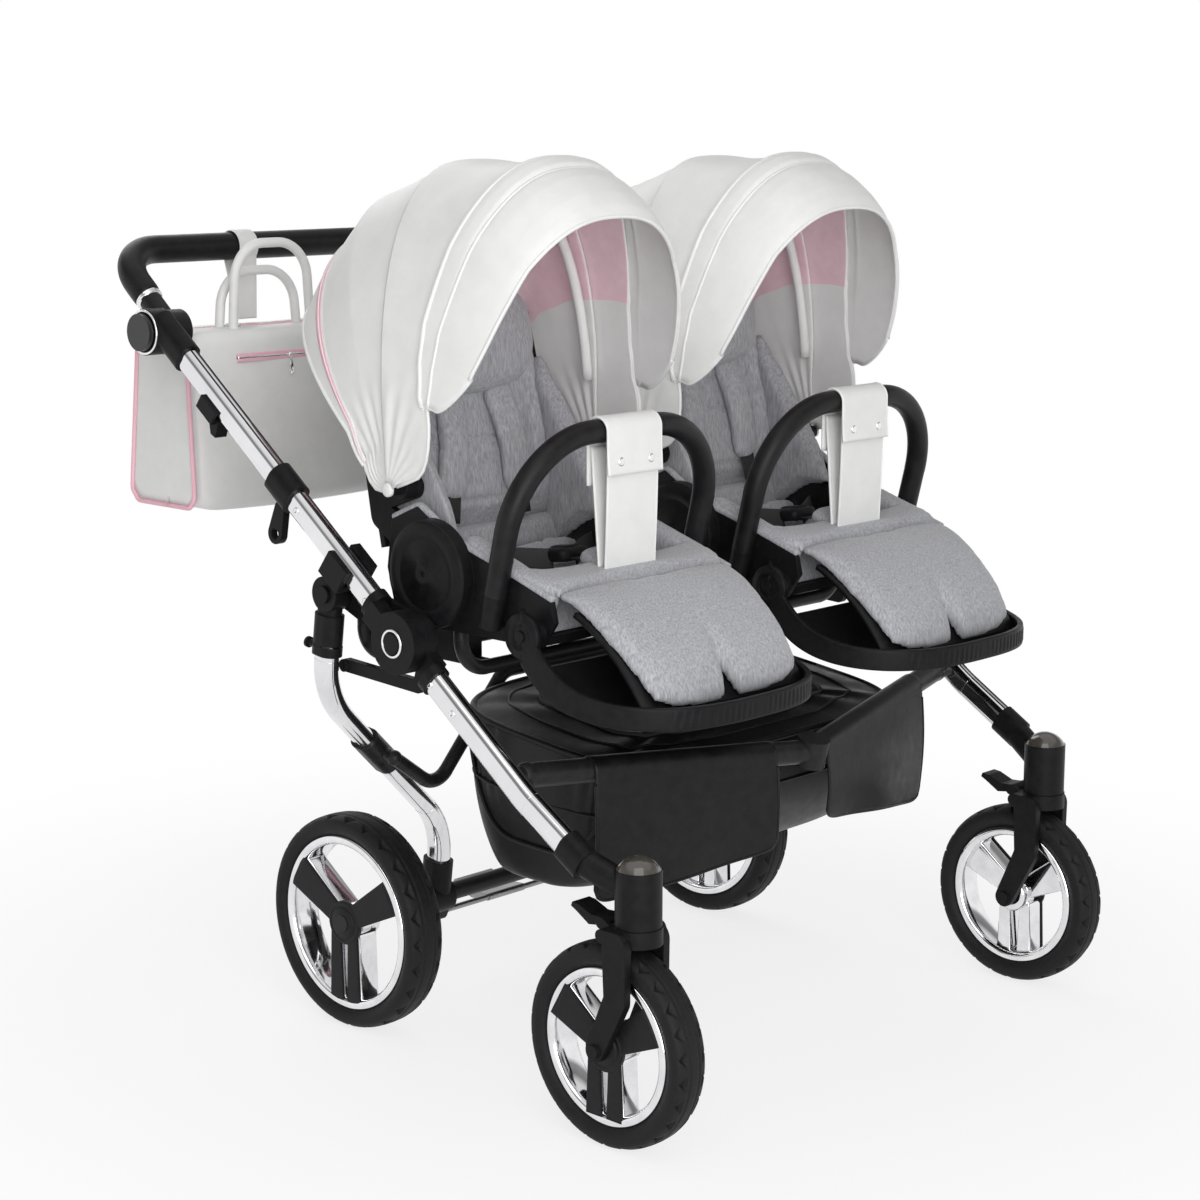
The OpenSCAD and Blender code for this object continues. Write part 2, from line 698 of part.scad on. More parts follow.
module fold_trigger(side) {
  s0 = upper_len - joint_r - 126 - trigger_travel;
  low = -tube_h / 2 - air;
  color("black") on_side(side) {
    slab(frame_half_w - 9, frame_half_w + 9) polygon([
      along(s0, low), along(s0 + 44, low), along(s0 + 44, low - 7),
      along(s0 + 16, low - 10), along(s0 + 4, low - 22), along(s0 - 6, low - 20)]);
    for (t = [-1, 1]) slab(frame_half_w + t * (tube_w / 2 + 2 + air) - 2,
                           frame_half_w + t * (tube_w / 2 + 2 + air) + 2)
      polygon([along(s0 + 4, low - 4), along(s0 + 4, low + 13), along(s0 + 40, low + 13),
               along(s0 + 40, low - 4)]);
    slab(tube_in - air - 4, tube_out + air + 4) polygon([
      along(s0 + 4, low - 6), along(s0 + 4, low), along(s0 + 40, low), along(s0 + 40, low - 6)]);
  }
}

module handle_path(d) {
  joint3 = p3(handle_half_w, handle_joint);
  bar3 = p3(handle_half_w, bar);
  bent([[-joint3[0], joint3[1], joint3[2]], [-bar3[0], bar3[1], bar3[2]], bar3, joint3],
       handle_corner_r, handle_norm, d, d);
}

module handle_tube() {
  color("black") {
    handle_path(handle_tube_d);
    pair() {
      pin_x(handle_joint, 2 * joint_r - 6, handle_half_w - 13, joint_in - air);
      pin_x(handle_joint, joint_pin_d, joint_in - 2, joint_in + joint_pin_len);
    }
  }
}

module handle_grip() {
  skip = 62;
  cut = p3(0, handle_joint + skip * handle_dir);
  color("black") difference() {
    handle_path(grip_d);
    handle_path(handle_tube_d + 2 * seat_fit);
    frame_at(cut, [1, 0, 0], handle_norm, [0, -handle_dir[0], -handle_dir[1]])
      translate([-500, -100, 0]) cube([1000, 200, 200]);
  }
}

module leg_path(g) {
  bent([leg_at(frame_half_w, 34), leg_at(frame_half_w, 131), leg_at(foot_half_w, 347),
        leg_at(foot_half_w, leg_len - 36)], leg_bend_r, leg_norm,
       tube_w + 2 * g, tube_h + 2 * g);
}

module rear_legs() {
  color("silver") pair() leg_path(0);
}

module leg_sockets() {
  color("black") pair() difference() {
    union() {
      pin_x(leg_pivot, 2 * socket_head_r, tube_in, tube_out);
      run(leg_at(frame_half_w, 0), leg_at(frame_half_w, 28), leg_norm) oval(tube_w, tube_h);
      run(leg_at(frame_half_w, 26), leg_at(frame_half_w, socket_len), leg_norm)
        oval(tube_w + 6, tube_h + 6);
    }
    run(leg_at(frame_half_w, 34 - seat_fit), leg_at(frame_half_w, socket_len + 5), leg_norm)
      oval(tube_w + 2 * seat_fit, tube_h + 2 * seat_fit);
    pin_x(leg_pivot, leg_pin_d + 2 * run_fit, tube_in - 5, tube_out + 5);
    pin_x(leg_pivot, leg_pin_d + 8 + 2 * air, tube_out, tube_out + 5);
  }
}

module axle_brackets() {
  top = leg_len - 54;
  color("black") pair() difference() {
    union() {
      run(leg_at(foot_half_w, top), leg_at(foot_half_w, leg_len - 10), leg_norm)
        oval(tube_w + 9, tube_h + 9);
      slab(foot_half_w - 18, foot_half_w + 18) {
        translate([rear_axle_y, rear_wheel_r]) circle(r = 23);
        link2d([rear_axle_y, rear_wheel_r], [rear_axle_y + 6, rear_wheel_r - 26], 16, 10);
      }
    }
    run(leg_at(foot_half_w, top - 5), leg_at(foot_half_w, leg_len - 36 + seat_fit), leg_norm)
      oval(tube_w + 2 * seat_fit, tube_h + 2 * seat_fit);
    pin_x([rear_axle_y, rear_wheel_r], axle_d + 2 * seat_fit, 0, 400);
    pin_x([rear_axle_y + 6, rear_wheel_r - 26], brake_rod_d + 2 * run_fit, 0, 400);
  }
}

module rear_axle() {
  c = [rear_axle_y, rear_wheel_r];
  color("gray") {
    pin_x(c, axle_d, -rear_half_track - 24, rear_half_track + 24);
    pin_x(c, axle_d + 12, -foot_half_w + 18 + seat_fit, foot_half_w - 18 - seat_fit);
    pair() pin_x(c, axle_d + 8, foot_half_w + 18 + seat_fit, rear_half_track - 22 - air);
    pair() pin_x(c, axle_d + 10, rear_half_track + 22 + air, rear_half_track + 27);
  }
}

module basket_hoop() {
  plate = leg_at(hoop_x, hoop_s);
  plate_half = 21;
  path = [[hoop_x, hoop_y, plate[2] - 4], [hoop_x - 70, hoop_y, plate[2] - 56],
          [hoop_x - 192, hoop_y, plate[2] + 78]];
  mirrored = [for (i = [len(path) - 1:-1:0]) [-path[i][0], path[i][1], path[i][2]]];
  color("black") {
    bent(concat(path, mirrored), 30, [0, 1, 0], hoop_d, hoop_d);
    pair() {
      translate([hoop_x, hoop_y, plate[2] - 4]) sphere(d = hoop_d + 2);
      difference() {
        union() {
          run([hoop_x, hoop_y, plate[2] - 4], [hoop_x, plate[1] - tube_h / 2 + 2, plate[2]],
              [1, 0, 0]) circle(d = hoop_d - 2);
          run(leg_at(hoop_x + plate_half, hoop_s - plate_half + 1),
              leg_at(hoop_x - plate_half, hoop_s + plate_half - 1), leg_norm)
            oval(tube_w + 8, tube_h + 8);
        }
        leg_path(seat_fit);
      }
    }
  }
}

module lock_studs() {
  c = leg_at(frame_half_w, socket_len + 8);
  color("black") pair() {
    difference() {
      run(leg_at(frame_half_w, socket_len + 2), leg_at(frame_half_w, socket_len + 14), leg_norm)
        oval(tube_w + 7, tube_h + 7);
      leg_path(seat_fit);
    }
    run(c + leg_norm * (tube_h / 2 + 1.5), c + leg_norm * (tube_h / 2 + 20), [1, 0, 0])
      circle(d = 9);
    run(c + leg_norm * (tube_h / 2 + 16), c + leg_norm * (tube_h / 2 + 20), [1, 0, 0])
      circle(d = 14);
  }
}

module brake_shaft() {
  c = [rear_axle_y + 6, rear_wheel_r - 26];
  pedal_x = -70;
  color("dimgray") {
    pin_x(c, brake_rod_d, -foot_half_w - 60, foot_half_w + 60);
    pair() slab(foot_half_w + 18 + air, foot_half_w + 24)
      link2d(c, c + [-2, -14], brake_rod_d / 2 + 3, 5);
    slab(pedal_x - 34, pedal_x + 34) strip2d([c, c + [30, -2], c + [62, 8]], 5);
  }
}

// Tyre section [radius, across]: a rounded tread on straight walls
module tyre(r, w, depth) {
  n = 20;
  rotate_extrude($fn = 96) polygon(concat(
    [[r - depth, -w / 2 + 6], [r - depth, w / 2 - 6]],
    [for (k = [0:n]) let (a = 180 * k / n)
       [r - depth * 0.62 + depth * 0.62 * pow(sin(a), 0.55),
        w / 2 * sign(cos(a)) * pow(abs(cos(a)), 0.8)]]));
}

// Rim: a ring with lips, a hub, two tapered spokes and a double lower spoke
module rim(r, w) {
  ring_in = r - rim_wall;
  deep = w * 0.62;
  difference() {
    union() {
      rotate_extrude($fn = 96) polygon([[ring_in, -w / 2 + 5], [r - air, -w / 2 + 7],
        [r - air, w / 2 - 7], [ring_in, w / 2 - 5], [ring_in - 2, w / 2 - 9],
        [ring_in - 2, -w / 2 + 9]]);
      translate([0, 0, -22]) cylinder(d = hub_d, h = 44);
      for (a = [30, 150]) rotate([0, 0, a]) translate([0, 0, -deep / 2 + 4])
        linear_extrude(deep) polygon([[8, -13], [8, 13], [ring_in + 1, spoke_w / 2],
                                      [ring_in + 1, -spoke_w / 2]]);
      rotate([0, 0, -90]) for (s = [-1, 1]) translate([0, 0, -deep / 2 + 4])
        linear_extrude(deep) polygon([[8, s * spoke_gap / 2], [8, s * (spoke_gap / 2 + 11)],
          [ring_in + 1, s * (spoke_gap / 2 + 15)], [ring_in + 1, s * spoke_gap / 2]]);
    }
    translate([0, 0, -50]) cylinder(d = axle_d + 2 * run_fit, h = 100);
  }
}

// Wheel axis along X, outside face outwards
module wheel_at(side, x, y, z) {
  on_side(side) frame_at([x, y, z], [0, 1, 0], [0, 0, 1], [1, 0, 0]) children();
}

module rear_tyre(side) {
  color("black") wheel_at(side, rear_half_track, rear_axle_y, rear_wheel_r)
    tyre(rear_wheel_r, rear_tyre_w, rear_tyre_depth);
}

module rear_rim(side) {
  color("silver") wheel_at(side, rear_half_track, rear_axle_y, rear_wheel_r)
    rim(rear_wheel_r - rear_tyre_depth, rear_tyre_w);
}

module front_tyre(side) {
  color("black") wheel_at(side, front_half_track, front_axle_y, front_wheel_r)
    tyre(front_wheel_r, front_tyre_w, front_tyre_depth);
}

module front_rim(side) {
  color("silver") wheel_at(side, front_half_track, front_axle_y, front_wheel_r)
    rim(front_wheel_r - front_tyre_depth, front_tyre_w);
}

module fork(side) {
  ear_x = lock_half_w + air;
  axle = [front_axle_y, front_wheel_r];
  knee = [swivel_y + 3, front_wheel_r + 66];
  x = front_half_track;
  color("black") on_side(side) {
    translate([x, swivel_y, front_wheel_d + 6]) rotate_extrude() polygon([[0, 0],
      [housing_r + 1, 0], [housing_r + 1, 20], [kingpin_d / 2, 20],
      [kingpin_d / 2, 8 + housing_h], [0, 8 + housing_h]]);
    slab(x - fork_in - fork_arm_t, x + fork_in + fork_arm_t)
      link2d([swivel_y, front_wheel_d + 16], [swivel_y + 24, front_wheel_d + 17], 9, 8);
    for (s = [-1, 1]) slab(x + s * (fork_in + fork_arm_t / 2) - fork_arm_t / 2,
                           x + s * (fork_in + fork_arm_t / 2) + fork_arm_t / 2) {
      link2d([swivel_y + 4, front_wheel_d + 5], knee, 18, 16);
      link2d(knee, axle, 16, 13);
    }
    for (s = [0, 1]) slab(x - ear_x - ear_t + s * (2 * ear_x + ear_t),
                          x - ear_x + s * (2 * ear_x + ear_t))
      link2d([swivel_y + 20, fork_top - 10], lock_pivot, 5, 7);
    pin_x(lock_pivot, lock_pin_d, x - ear_x - 2, x + ear_x + 2);
    pin_x(axle, axle_d, x - fork_in - 2, x + fork_in + 2);
    for (s = [-1, 1]) {
      cap_x = x + s * (fork_in + fork_arm_t + 1);
      spacer_x = x + s * (fork_in + 22 + air) / 2;
      spacer_w = fork_in - 22 - air;
      pin_x(axle, axle_d + 5, cap_x - 3, cap_x + 3);
      pin_x(axle, axle_d + 6, spacer_x - spacer_w / 2, spacer_x + spacer_w / 2);
    }
  }
}

module swivel_lock(side) {
  x0 = front_half_track - lock_half_w;
  x1 = front_half_track + lock_half_w;
  pedal = [[4, 5], [20, 4], [40, 12], [50, 13], [52, 8], [44, 4], [24, -8], [4, -5]];
  color("black") on_side(side) difference() {
    union() {
      pin_x(lock_pivot, 14, x0, x1);
      slab(x0, x1) translate(lock_pivot) polygon(pedal);
    }
    pin_x(lock_pivot, lock_pin_d + 2 * run_fit, x0 - 1, x1 + 1);
  }
}

module backrest_frame(side) {
  plate_low = back_foot - back_fwd * (back_pad_t + 1);
  shoulder = back_len - 50;
  head_half_w = arm_out - 35;
  color("black") on_side(side) translate([seat_x, 0, 0]) {
    translate(p3(0, plate_low - back_plate_t * back_fwd)) rotate([90 - back_lean, 0, 0])
      linear_extrude(back_plate_t)
        polygon([[-arm_out, 0], [arm_out, 0], [arm_out, shoulder], [head_half_w, shoulder],
                 [head_half_w, back_len], [-head_half_w, back_len], [-head_half_w, shoulder],
                 [-arm_out, shoulder]]);
    for (s = [-1, 1]) mirror([s < 0 ? 1 : 0, 0, 0]) {
      slab(arm_in, arm_out) {
        link2d(recline, plate_low + 40 * back_dir, 26, 18);
        link2d(plate_low + 40 * back_dir, plate_low + (shoulder - 10) * back_dir, 18, 10);
        link2d(plate_low + 60 * back_dir, canopy_pivot, 16, 15);
      }
      pin_x(recline, hub_pin_d, arm_in, hub_out - 5);
      pin_x(canopy_pivot, 28, arm_in, tub_out + 8);
      pin_x(canopy_pivot, canopy_pin_d, arm_in, canopy_half_w + 1);
    }
  }
}

module backrest_pad(side) {
  nu = 18;
  nv = 20;
  half_w = arm_in - 3;
  grid = [for (v = spread(nv)) for (u = spread(nu)) [u, v]];
  // Share of the pad's length where the head cushion bulges
  function head(u, v) = exp(-pow((v - 0.56) / 0.3, 2)) * exp(-pow(u / 0.72, 4));
  function thick(u, v) = 10 + (back_pad_t - 10) * crown(u, v)
    * (1 - 0.2 * channel(v - 0.12, 0.06)) + 22 * head(u, v) * crown(u, v);
  function at(u, v, t) = let (q = back_foot - back_fwd * (back_pad_t + 1 - air)
      + back_dir * ((v + 1) / 2 * (back_len - 12) + 6) + back_fwd * t)
    p3(u * half_w * (1 - 0.025 * (1 - v * v)), q);
  top = [for (g = grid) at(g[0], g[1], thick(g[0], g[1]))];
  low = [for (g = grid) at(g[0] * 0.98, g[1] * 0.99, 0)];
  color("darkgray") on_side(side) translate([seat_x, 0, 0]) mirror([1, 0, 0])
    soft_grid(top, low, nu, nv);
}

// Canopy shell: an arch section turned about the canopy pivot from angle a0 to a1
module canopy_shell(half_w, r, a0, a1, pin_r) {
  n = 22;
  p = 2.5;
  boss_r = 24;
  boss_t = canopy_t + 1.2;
  function arch(hw, rr) = [for (k = [0:n]) let (a = 180 * k / n)
    [rr * pow(sin(a), 2 / p), hw * sign(cos(a)) * pow(abs(cos(a)), 2 / p)]];
  outer = [for (q = arch(half_w, r)) [max(q[0], boss_r - 4), q[1]]];
  inner = [for (q = arch(half_w - canopy_t, r - canopy_t)) [max(q[0], boss_r - 4), q[1]]];
  frame_at(p3(0, canopy_pivot), [0, 1, 0], [0, 0, 1], [1, 0, 0]) {
    rotate([0, 0, a0]) rotate_extrude(angle = a1 - a0, $fn = 96)
      polygon(concat(outer, [for (i = [n:-1:0]) inner[i]]));
    for (s = [-1, 1]) translate([0, 0, s * (half_w - canopy_t / 2) - boss_t / 2])
      difference() {
        cylinder(r = boss_r, h = boss_t);
        translate([0, 0, -1]) cylinder(r = pin_r, h = boss_t + 2);
      }
  }
}

module canopy_rear(side) {
  inset = canopy_t + 1.5;
  color("whitesmoke") on_side(side) translate([seat_x, 0, 0])
    canopy_shell(canopy_half_w - inset, canopy_r - inset, hem_angle,
                 canopy_seam_angle + 8, canopy_pin_d / 2 + seat_fit);
}

module canopy_front(side) {
  color("white") on_side(side) translate([seat_x, 0, 0])
    canopy_shell(canopy_half_w, canopy_r, canopy_seam_angle, brim_angle,
                 canopy_pin_d / 2 + run_fit);
}

module bumper_bar(side) {
  w = bumper_half_w;
  color("black") on_side(side) translate([seat_x, 0, 0]) {
    bent([bumper_at(-w, 0), bumper_at(-w, bumper_rise), bumper_at(w, bumper_rise),
          bumper_at(w, 0)], bumper_bend_r, bumper_norm, bumper_d, bumper_d);
    for (s = [-1, 1])
      run(bumper_at(s * w, -plug_len), bumper_at(s * w, 1), [1, 0, 0]) circle(d = plug_d);
  }
}

module bumper_strap(side) {
  ri = bumper_d / 2 + air;
  ro = ri + strap_t;
  tail = 172;
  color("white") on_side(side) translate([seat_x, 0, 0])
    slab(-strap_w / 2, strap_w / 2) translate(bumper_top) difference() {
      union() {
        circle(r = ro);
        translate([-ro, -tail]) square([strap_t, tail]);
        translate([ri, -70]) square([strap_t, 70]);
      }
      circle(r = ri);
      translate([-ri, -tail - 1]) square([2 * ri, tail + 1]);
    }
}

// Mid line of the leg cover's underside in the side view, v from -1 behind to 1 at the foot
function cover_mid(v) = let (t = (v + 1) / 2)
  foot_pivot + [-14 - 52 * sin(t * 90) - 90 * t, 36 - 117 * pow(t, 1.45)];
function cover_normal(v) = let (d = unit(cover_mid(min(1, v + 0.02)) - cover_mid(max(-1, v - 0.02))))
  [d[1], -d[0]];

module footrest(side) {
  arm_x = foot_in + foot_arm_t;
  knee = foot_pivot + [-50, -51];
  toe = foot_pivot + [-128, -82];
  tip = foot_pivot + [-206, -95];
  tray_half_w = arm_x - 1.5;
  tray_l = 152;
  tray_r = tray_half_w + 76;
  tray_t = 6;
  rim_h = 26;
  board_end = cover_mid(1) - (board_r + air) * cover_normal(1);
  color("black") on_side(side) translate([seat_x, 0, 0]) {
    for (s = [-1, 1]) mirror([s < 0 ? 1 : 0, 0, 0]) slab(foot_in, arm_x) difference() {
      union() {
        link2d(foot_pivot, knee, 26, 24);
        link2d(knee, toe, 24, rim_h / 2);
      }
      translate(foot_pivot) circle(d = foot_pin_d + 2 * run_fit);
    }
    difference() {
      intersection() {
        translate(p3(-tray_half_w, tip)) cube([2 * tray_half_w, tray_l, rim_h]);
        translate(p3(0, tip + [tray_r, -1])) cylinder(r = tray_r, h = rim_h + 2, $fn = 96);
      }
      intersection() {
        translate(p3(-tray_half_w + tray_t, tip + [0, tray_t]))
          cube([2 * (tray_half_w - tray_t), tray_l + 1, rim_h]);
        translate(p3(0, tip + [tray_r, tray_t])) cylinder(r = tray_r - tray_t, h = rim_h, $fn = 96);
      }
    }
    slab(-cover_w / 2, cover_w / 2) strip2d(concat([for (v = [-1:0.25:1])
      cover_mid(v) - (board_r + air) * cover_normal(v)], [board_end + [2, -9]]), board_r);
  }
}

// Leg cover: a padded sheet over the edge of the seat, split in two lobes at its foot
module leg_cover(side) {
  nu = 20;
  nv = 16;
  function at(u, v, h) = p3(u * cover_w / 2 * (1 - 0.16 * pow((v + 1) / 2, 3)),
                            cover_mid(v) + h * cover_normal(v));
  function lobe(u, v) = 1 - 0.75 * channel(u, 0.06) * max(0, v - 0.1) / 0.9;
  grid = [for (v = spread(nv)) for (u = spread(nu)) [u, v]];
  top = [for (g = grid) at(g[0], g[1],
           8 + (cover_t - 8) * crown(g[0], g[1]) * lobe(g[0], g[1]))];
  low = [for (g = grid) at(g[0] * 0.985, g[1] * 0.985, 0)];
  color("lightgray") on_side(side) translate([seat_x, 0, 0]) soft_grid(top, low, nu, nv);
}

module bag() {
  low = bag_top - bag_h;
  function outline(g) = [[bag_front + 10 + g, low + 14 + g], [bag_front + 22 + g, low + g],
    [bag_rear - 14 - g, low + g], [bag_rear - g, low + 16 + g],
    [bag_rear - 24 - g, bag_top - 12 - g], [bag_rear - 34 - g, bag_top - g],
    [bag_front + 30 + g, bag_top - g], [bag_front + 20 + g, bag_top - 12 - g]];
  mid_y = (bag_front + bag_rear) / 2;
  color("white") {
    difference() {
      slab(bag_right, bag_right + bag_w) polygon(outline(0));
      slab(bag_right + bag_wall, bag_right + bag_w - bag_wall) polygon(outline(bag_wall));
      translate([bag_right + 40, mid_y + 14, bag_top - bag_wall - 5])
        cube([bag_w - 80, 6, bag_wall + 10]);
    }
    for (loop = [[mid_y - 34, 110], [mid_y - 4, 72]])
      bent([[bag_right + 97, loop[0], bag_top - 4], [bag_right + 104, loop[0], bag_top + loop[1]],
            [bag_right + 224, loop[0], bag_top + loop[1]], [bag_right + 231, loop[0], bag_top - 4]],
           50, [0, 1, 0], 13, 13);
  }
}

module bag_straps() {
  ri = grip_d / 2 + air;
  hook = [bag_rear - 30, bag_top - 2];
  low_x = bag_right + (bag_w - hang_w) / 2;
  color("white") union() {
    slab(low_x, low_x + hang_w) difference() {
      translate(bar) circle(r = ri + 2.5);
      translate(bar) circle(r = ri);
    }
    slab(low_x, low_x + hang_w) difference() {
      link2d(bar, hook + [-2, 6], 4, 4);
      translate(bar) circle(r = ri + 1);
    }
  }
}

lower_tubes();
hinge_bodies();
leg_guides();
front_brackets();
swivel_caps();
seat_carriers();
seat_adaptors();
front_bar();
basket();
basket_flaps();
seat_shells();
seat_pads();
harnesses();
upper_tubes();
hinge_knuckles();
hook_clamps();
handle_sockets();
fold_trigger(1);  // fold_trigger_left
fold_trigger(-1);  // fold_trigger_right
handle_tube();
handle_grip();
handle_button(1);  // handle_button_left
handle_button(-1);  // handle_button_right
rear_legs();
leg_sockets();
axle_brackets();
rear_axle();
basket_hoop();
lock_studs();
brake_shaft();
rear_tyre(1);  // rear_tyre_left
rear_tyre(-1);  // rear_tyre_right
rear_rim(1);  // rear_rim_left
rear_rim(-1);  // rear_rim_right
front_tyre(1);  // front_tyre_left
front_tyre(-1);  // front_tyre_right
front_rim(1);  // front_rim_left
front_rim(-1);  // front_rim_right
fork(1);  // fork_left
fork(-1);  // fork_right
swivel_lock(1);  // swivel_lock_left
swivel_lock(-1);  // swivel_lock_right
backrest_frame(1);  // backrest_frame_left
backrest_frame(-1);  // backrest_frame_right
backrest_pad(1);  // backrest_pad_left
backrest_pad(-1);  // backrest_pad_right
canopy_rear(1);  // canopy_rear_left
canopy_rear(-1);  // canopy_rear_right
canopy_front(1);  // canopy_front_left
canopy_front(-1);  // canopy_front_right
bumper_bar(1);  // bumper_bar_left
bumper_bar(-1);  // bumper_bar_right
bumper_strap(1);  // bumper_strap_left
bumper_strap(-1);  // bumper_strap_right
footrest(1);  // footrest_left
footrest(-1);  // footrest_right
leg_cover(1);  // leg_cover_left
leg_cover(-1);  // leg_cover_right
bag();
bag_straps();
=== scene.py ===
import math

import bmesh
import bpy
import numpy as np
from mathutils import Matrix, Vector


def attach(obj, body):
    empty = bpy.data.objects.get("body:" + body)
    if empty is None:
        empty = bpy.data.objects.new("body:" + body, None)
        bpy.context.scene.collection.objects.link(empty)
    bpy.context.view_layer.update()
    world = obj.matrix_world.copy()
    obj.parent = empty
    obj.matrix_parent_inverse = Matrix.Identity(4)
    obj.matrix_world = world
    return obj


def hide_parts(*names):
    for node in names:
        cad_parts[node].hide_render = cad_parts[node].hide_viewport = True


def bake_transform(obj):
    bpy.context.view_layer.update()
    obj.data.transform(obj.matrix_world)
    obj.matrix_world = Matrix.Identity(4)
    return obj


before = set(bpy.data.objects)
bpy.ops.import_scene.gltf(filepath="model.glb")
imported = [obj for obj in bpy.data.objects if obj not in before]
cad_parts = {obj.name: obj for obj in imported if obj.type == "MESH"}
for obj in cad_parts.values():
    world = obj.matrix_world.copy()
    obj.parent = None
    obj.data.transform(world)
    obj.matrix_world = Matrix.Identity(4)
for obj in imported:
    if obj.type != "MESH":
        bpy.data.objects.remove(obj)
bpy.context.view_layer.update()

# Studio: a pale floor that fades into white, soft lamps at a plain level, and a camera at the
# photograph's angle, solved from the round wheels and the straight side tubes.
scene = bpy.context.scene
scene.view_settings.view_transform = "Standard"


def shown(name, data):
    """Object for a mesh, lamp or camera, linked into the scene."""
    thing = bpy.data.objects.new(name, data)
    scene.collection.objects.link(thing)
    return thing


def softbox(name, place, aim, size, power):
    """Square area lamp at a place, turned to face a point."""
    lamp = bpy.data.lights.new(name, "AREA")
    lamp.size = size
    lamp.energy = power
    box = shown(name, lamp)
    box.location = place
    box.rotation_euler = (Vector(aim) - Vector(place)).to_track_quat("-Z", "Y").to_euler()


def add(tree, kind, inputs, **settings):
    """New shader node with its settings. An input takes a value, or a link where an output is given."""
    node = tree.nodes.new("ShaderNode" + kind)
    for name, value in settings.items():
        setattr(node, name, value)
    for key, value in inputs.items():
        if isinstance(value, bpy.types.NodeSocket):
            tree.links.new(value, node.inputs[key])
        else:
            node.inputs[key].default_value = value
    return node


def ramp(tree, factor, *stops):
    """Colour ramp along a factor: each stop is a place and a colour, and the first two are its own."""
    node = add(tree, "ValToRGB", {"Fac": factor})
    line = node.color_ramp.elements
    for number, (place, colour) in enumerate(stops):
        stop = line[number] if number < 2 else line.new(place)
        stop.position = place
        stop.color = (*colour, 1.0)
    return node.outputs["Color"]


def seen_rays(tree):
    """One where a ray comes from the camera, a mirror or a clear surface: the largest of the three marks."""
    marks = add(tree, "LightPath", {}).outputs
    first = add(tree, "Math", {0: marks["Is Camera Ray"], 1: marks["Is Glossy Ray"]}, operation="MAXIMUM")
    both = add(tree, "Math", {0: first.outputs[0], 1: marks["Is Transmission Ray"]}, operation="MAXIMUM")
    return both.outputs[0]


camera_data = bpy.data.cameras.new("studio_camera")
camera_data.lens = 75.99
camera_data.sensor_width = 36.0
camera = shown("studio_camera", camera_data)
turn = math.radians(-46.30)
tilt = math.radians(10.73)
back = Vector((math.sin(turn) * math.cos(tilt), -math.cos(turn) * math.cos(tilt), math.sin(tilt)))
camera.location = (-2.394, -2.289, 1.154)
camera.rotation_euler = (-back).to_track_quat("-Z", "Y").to_euler()
scene.camera = camera
softbox("key_lamp", (-1.8, -1.8, 2.9), (0.0, 0.0, 0.6), 2.4, 27.0)
softbox("fill_lamp", (-2.0, -2.9, 1.1), (0.0, 0.0, 0.8), 2.2, 54.0)
softbox("rear_lamp", (0.8, 2.6, 2.6), (0.0, 0.0, 0.7), 2.0, 26.0)

world = bpy.data.worlds.new("studio_world")
scene.world = world
world.use_nodes = True
tree = world.node_tree
tree.nodes.clear()
soft_sky = add(tree, "Background", {"Strength": 0.50})
split = add(tree, "SeparateXYZ", {0: add(tree, "TexCoord", {}).outputs["Generated"]})
levels = ((0.30, 1.0), (1.0, 0.9), (0.42, 0.30), (0.62, 0.22), (0.78, 0.75))
bands = ramp(tree, split.outputs["Z"], *[(place, (level, level, level)) for place, level in levels])
seen_sky = add(tree, "Background", {"Color": bands})
sky_mix = add(tree, "MixShader", {"Fac": seen_rays(tree), 1: soft_sky.outputs[0], 2: seen_sky.outputs[0]})
add(tree, "OutputWorld", {"Surface": sky_mix.outputs[0]})

floor_half = 9.0
floor_level = -0.0005
floor_mesh = bpy.data.meshes.new("studio_floor")
corners = [(x * floor_half, y * floor_half, floor_level) for x, y in ((-1, -1), (1, -1), (1, 1), (-1, 1))]
floor_mesh.from_pydata(corners, [], [(0, 1, 2, 3)])
floor = shown("studio_floor", floor_mesh)
floor_paint = bpy.data.materials.new("pale_floor")
floor_paint.use_nodes = True
tree = floor_paint.node_tree
tree.nodes.clear()
matt = add(tree, "BsdfDiffuse", {"Color": (0.93, 0.93, 0.93, 1.0)})
glow = add(tree, "Emission", {})
reach = add(tree, "VectorMath", {0: add(tree, "TexCoord", {}).outputs["Object"]}, operation="LENGTH")
fade = add(tree, "MapRange", {"From Min": 0.45, "From Max": 1.5, "To Min": 0.78,
                              "Value": reach.outputs["Value"]}, interpolation_type="SMOOTHSTEP")
faded = add(tree, "Math", {0: fade.outputs["Result"], 1: seen_rays(tree)}, operation="MULTIPLY")
floor_mix = add(tree, "MixShader", {"Fac": faded.outputs[0], 1: matt.outputs[0], 2: glow.outputs[0]})
add(tree, "OutputMaterial", {"Surface": floor_mix.outputs[0]})
floor_mesh.materials.append(floor_paint)
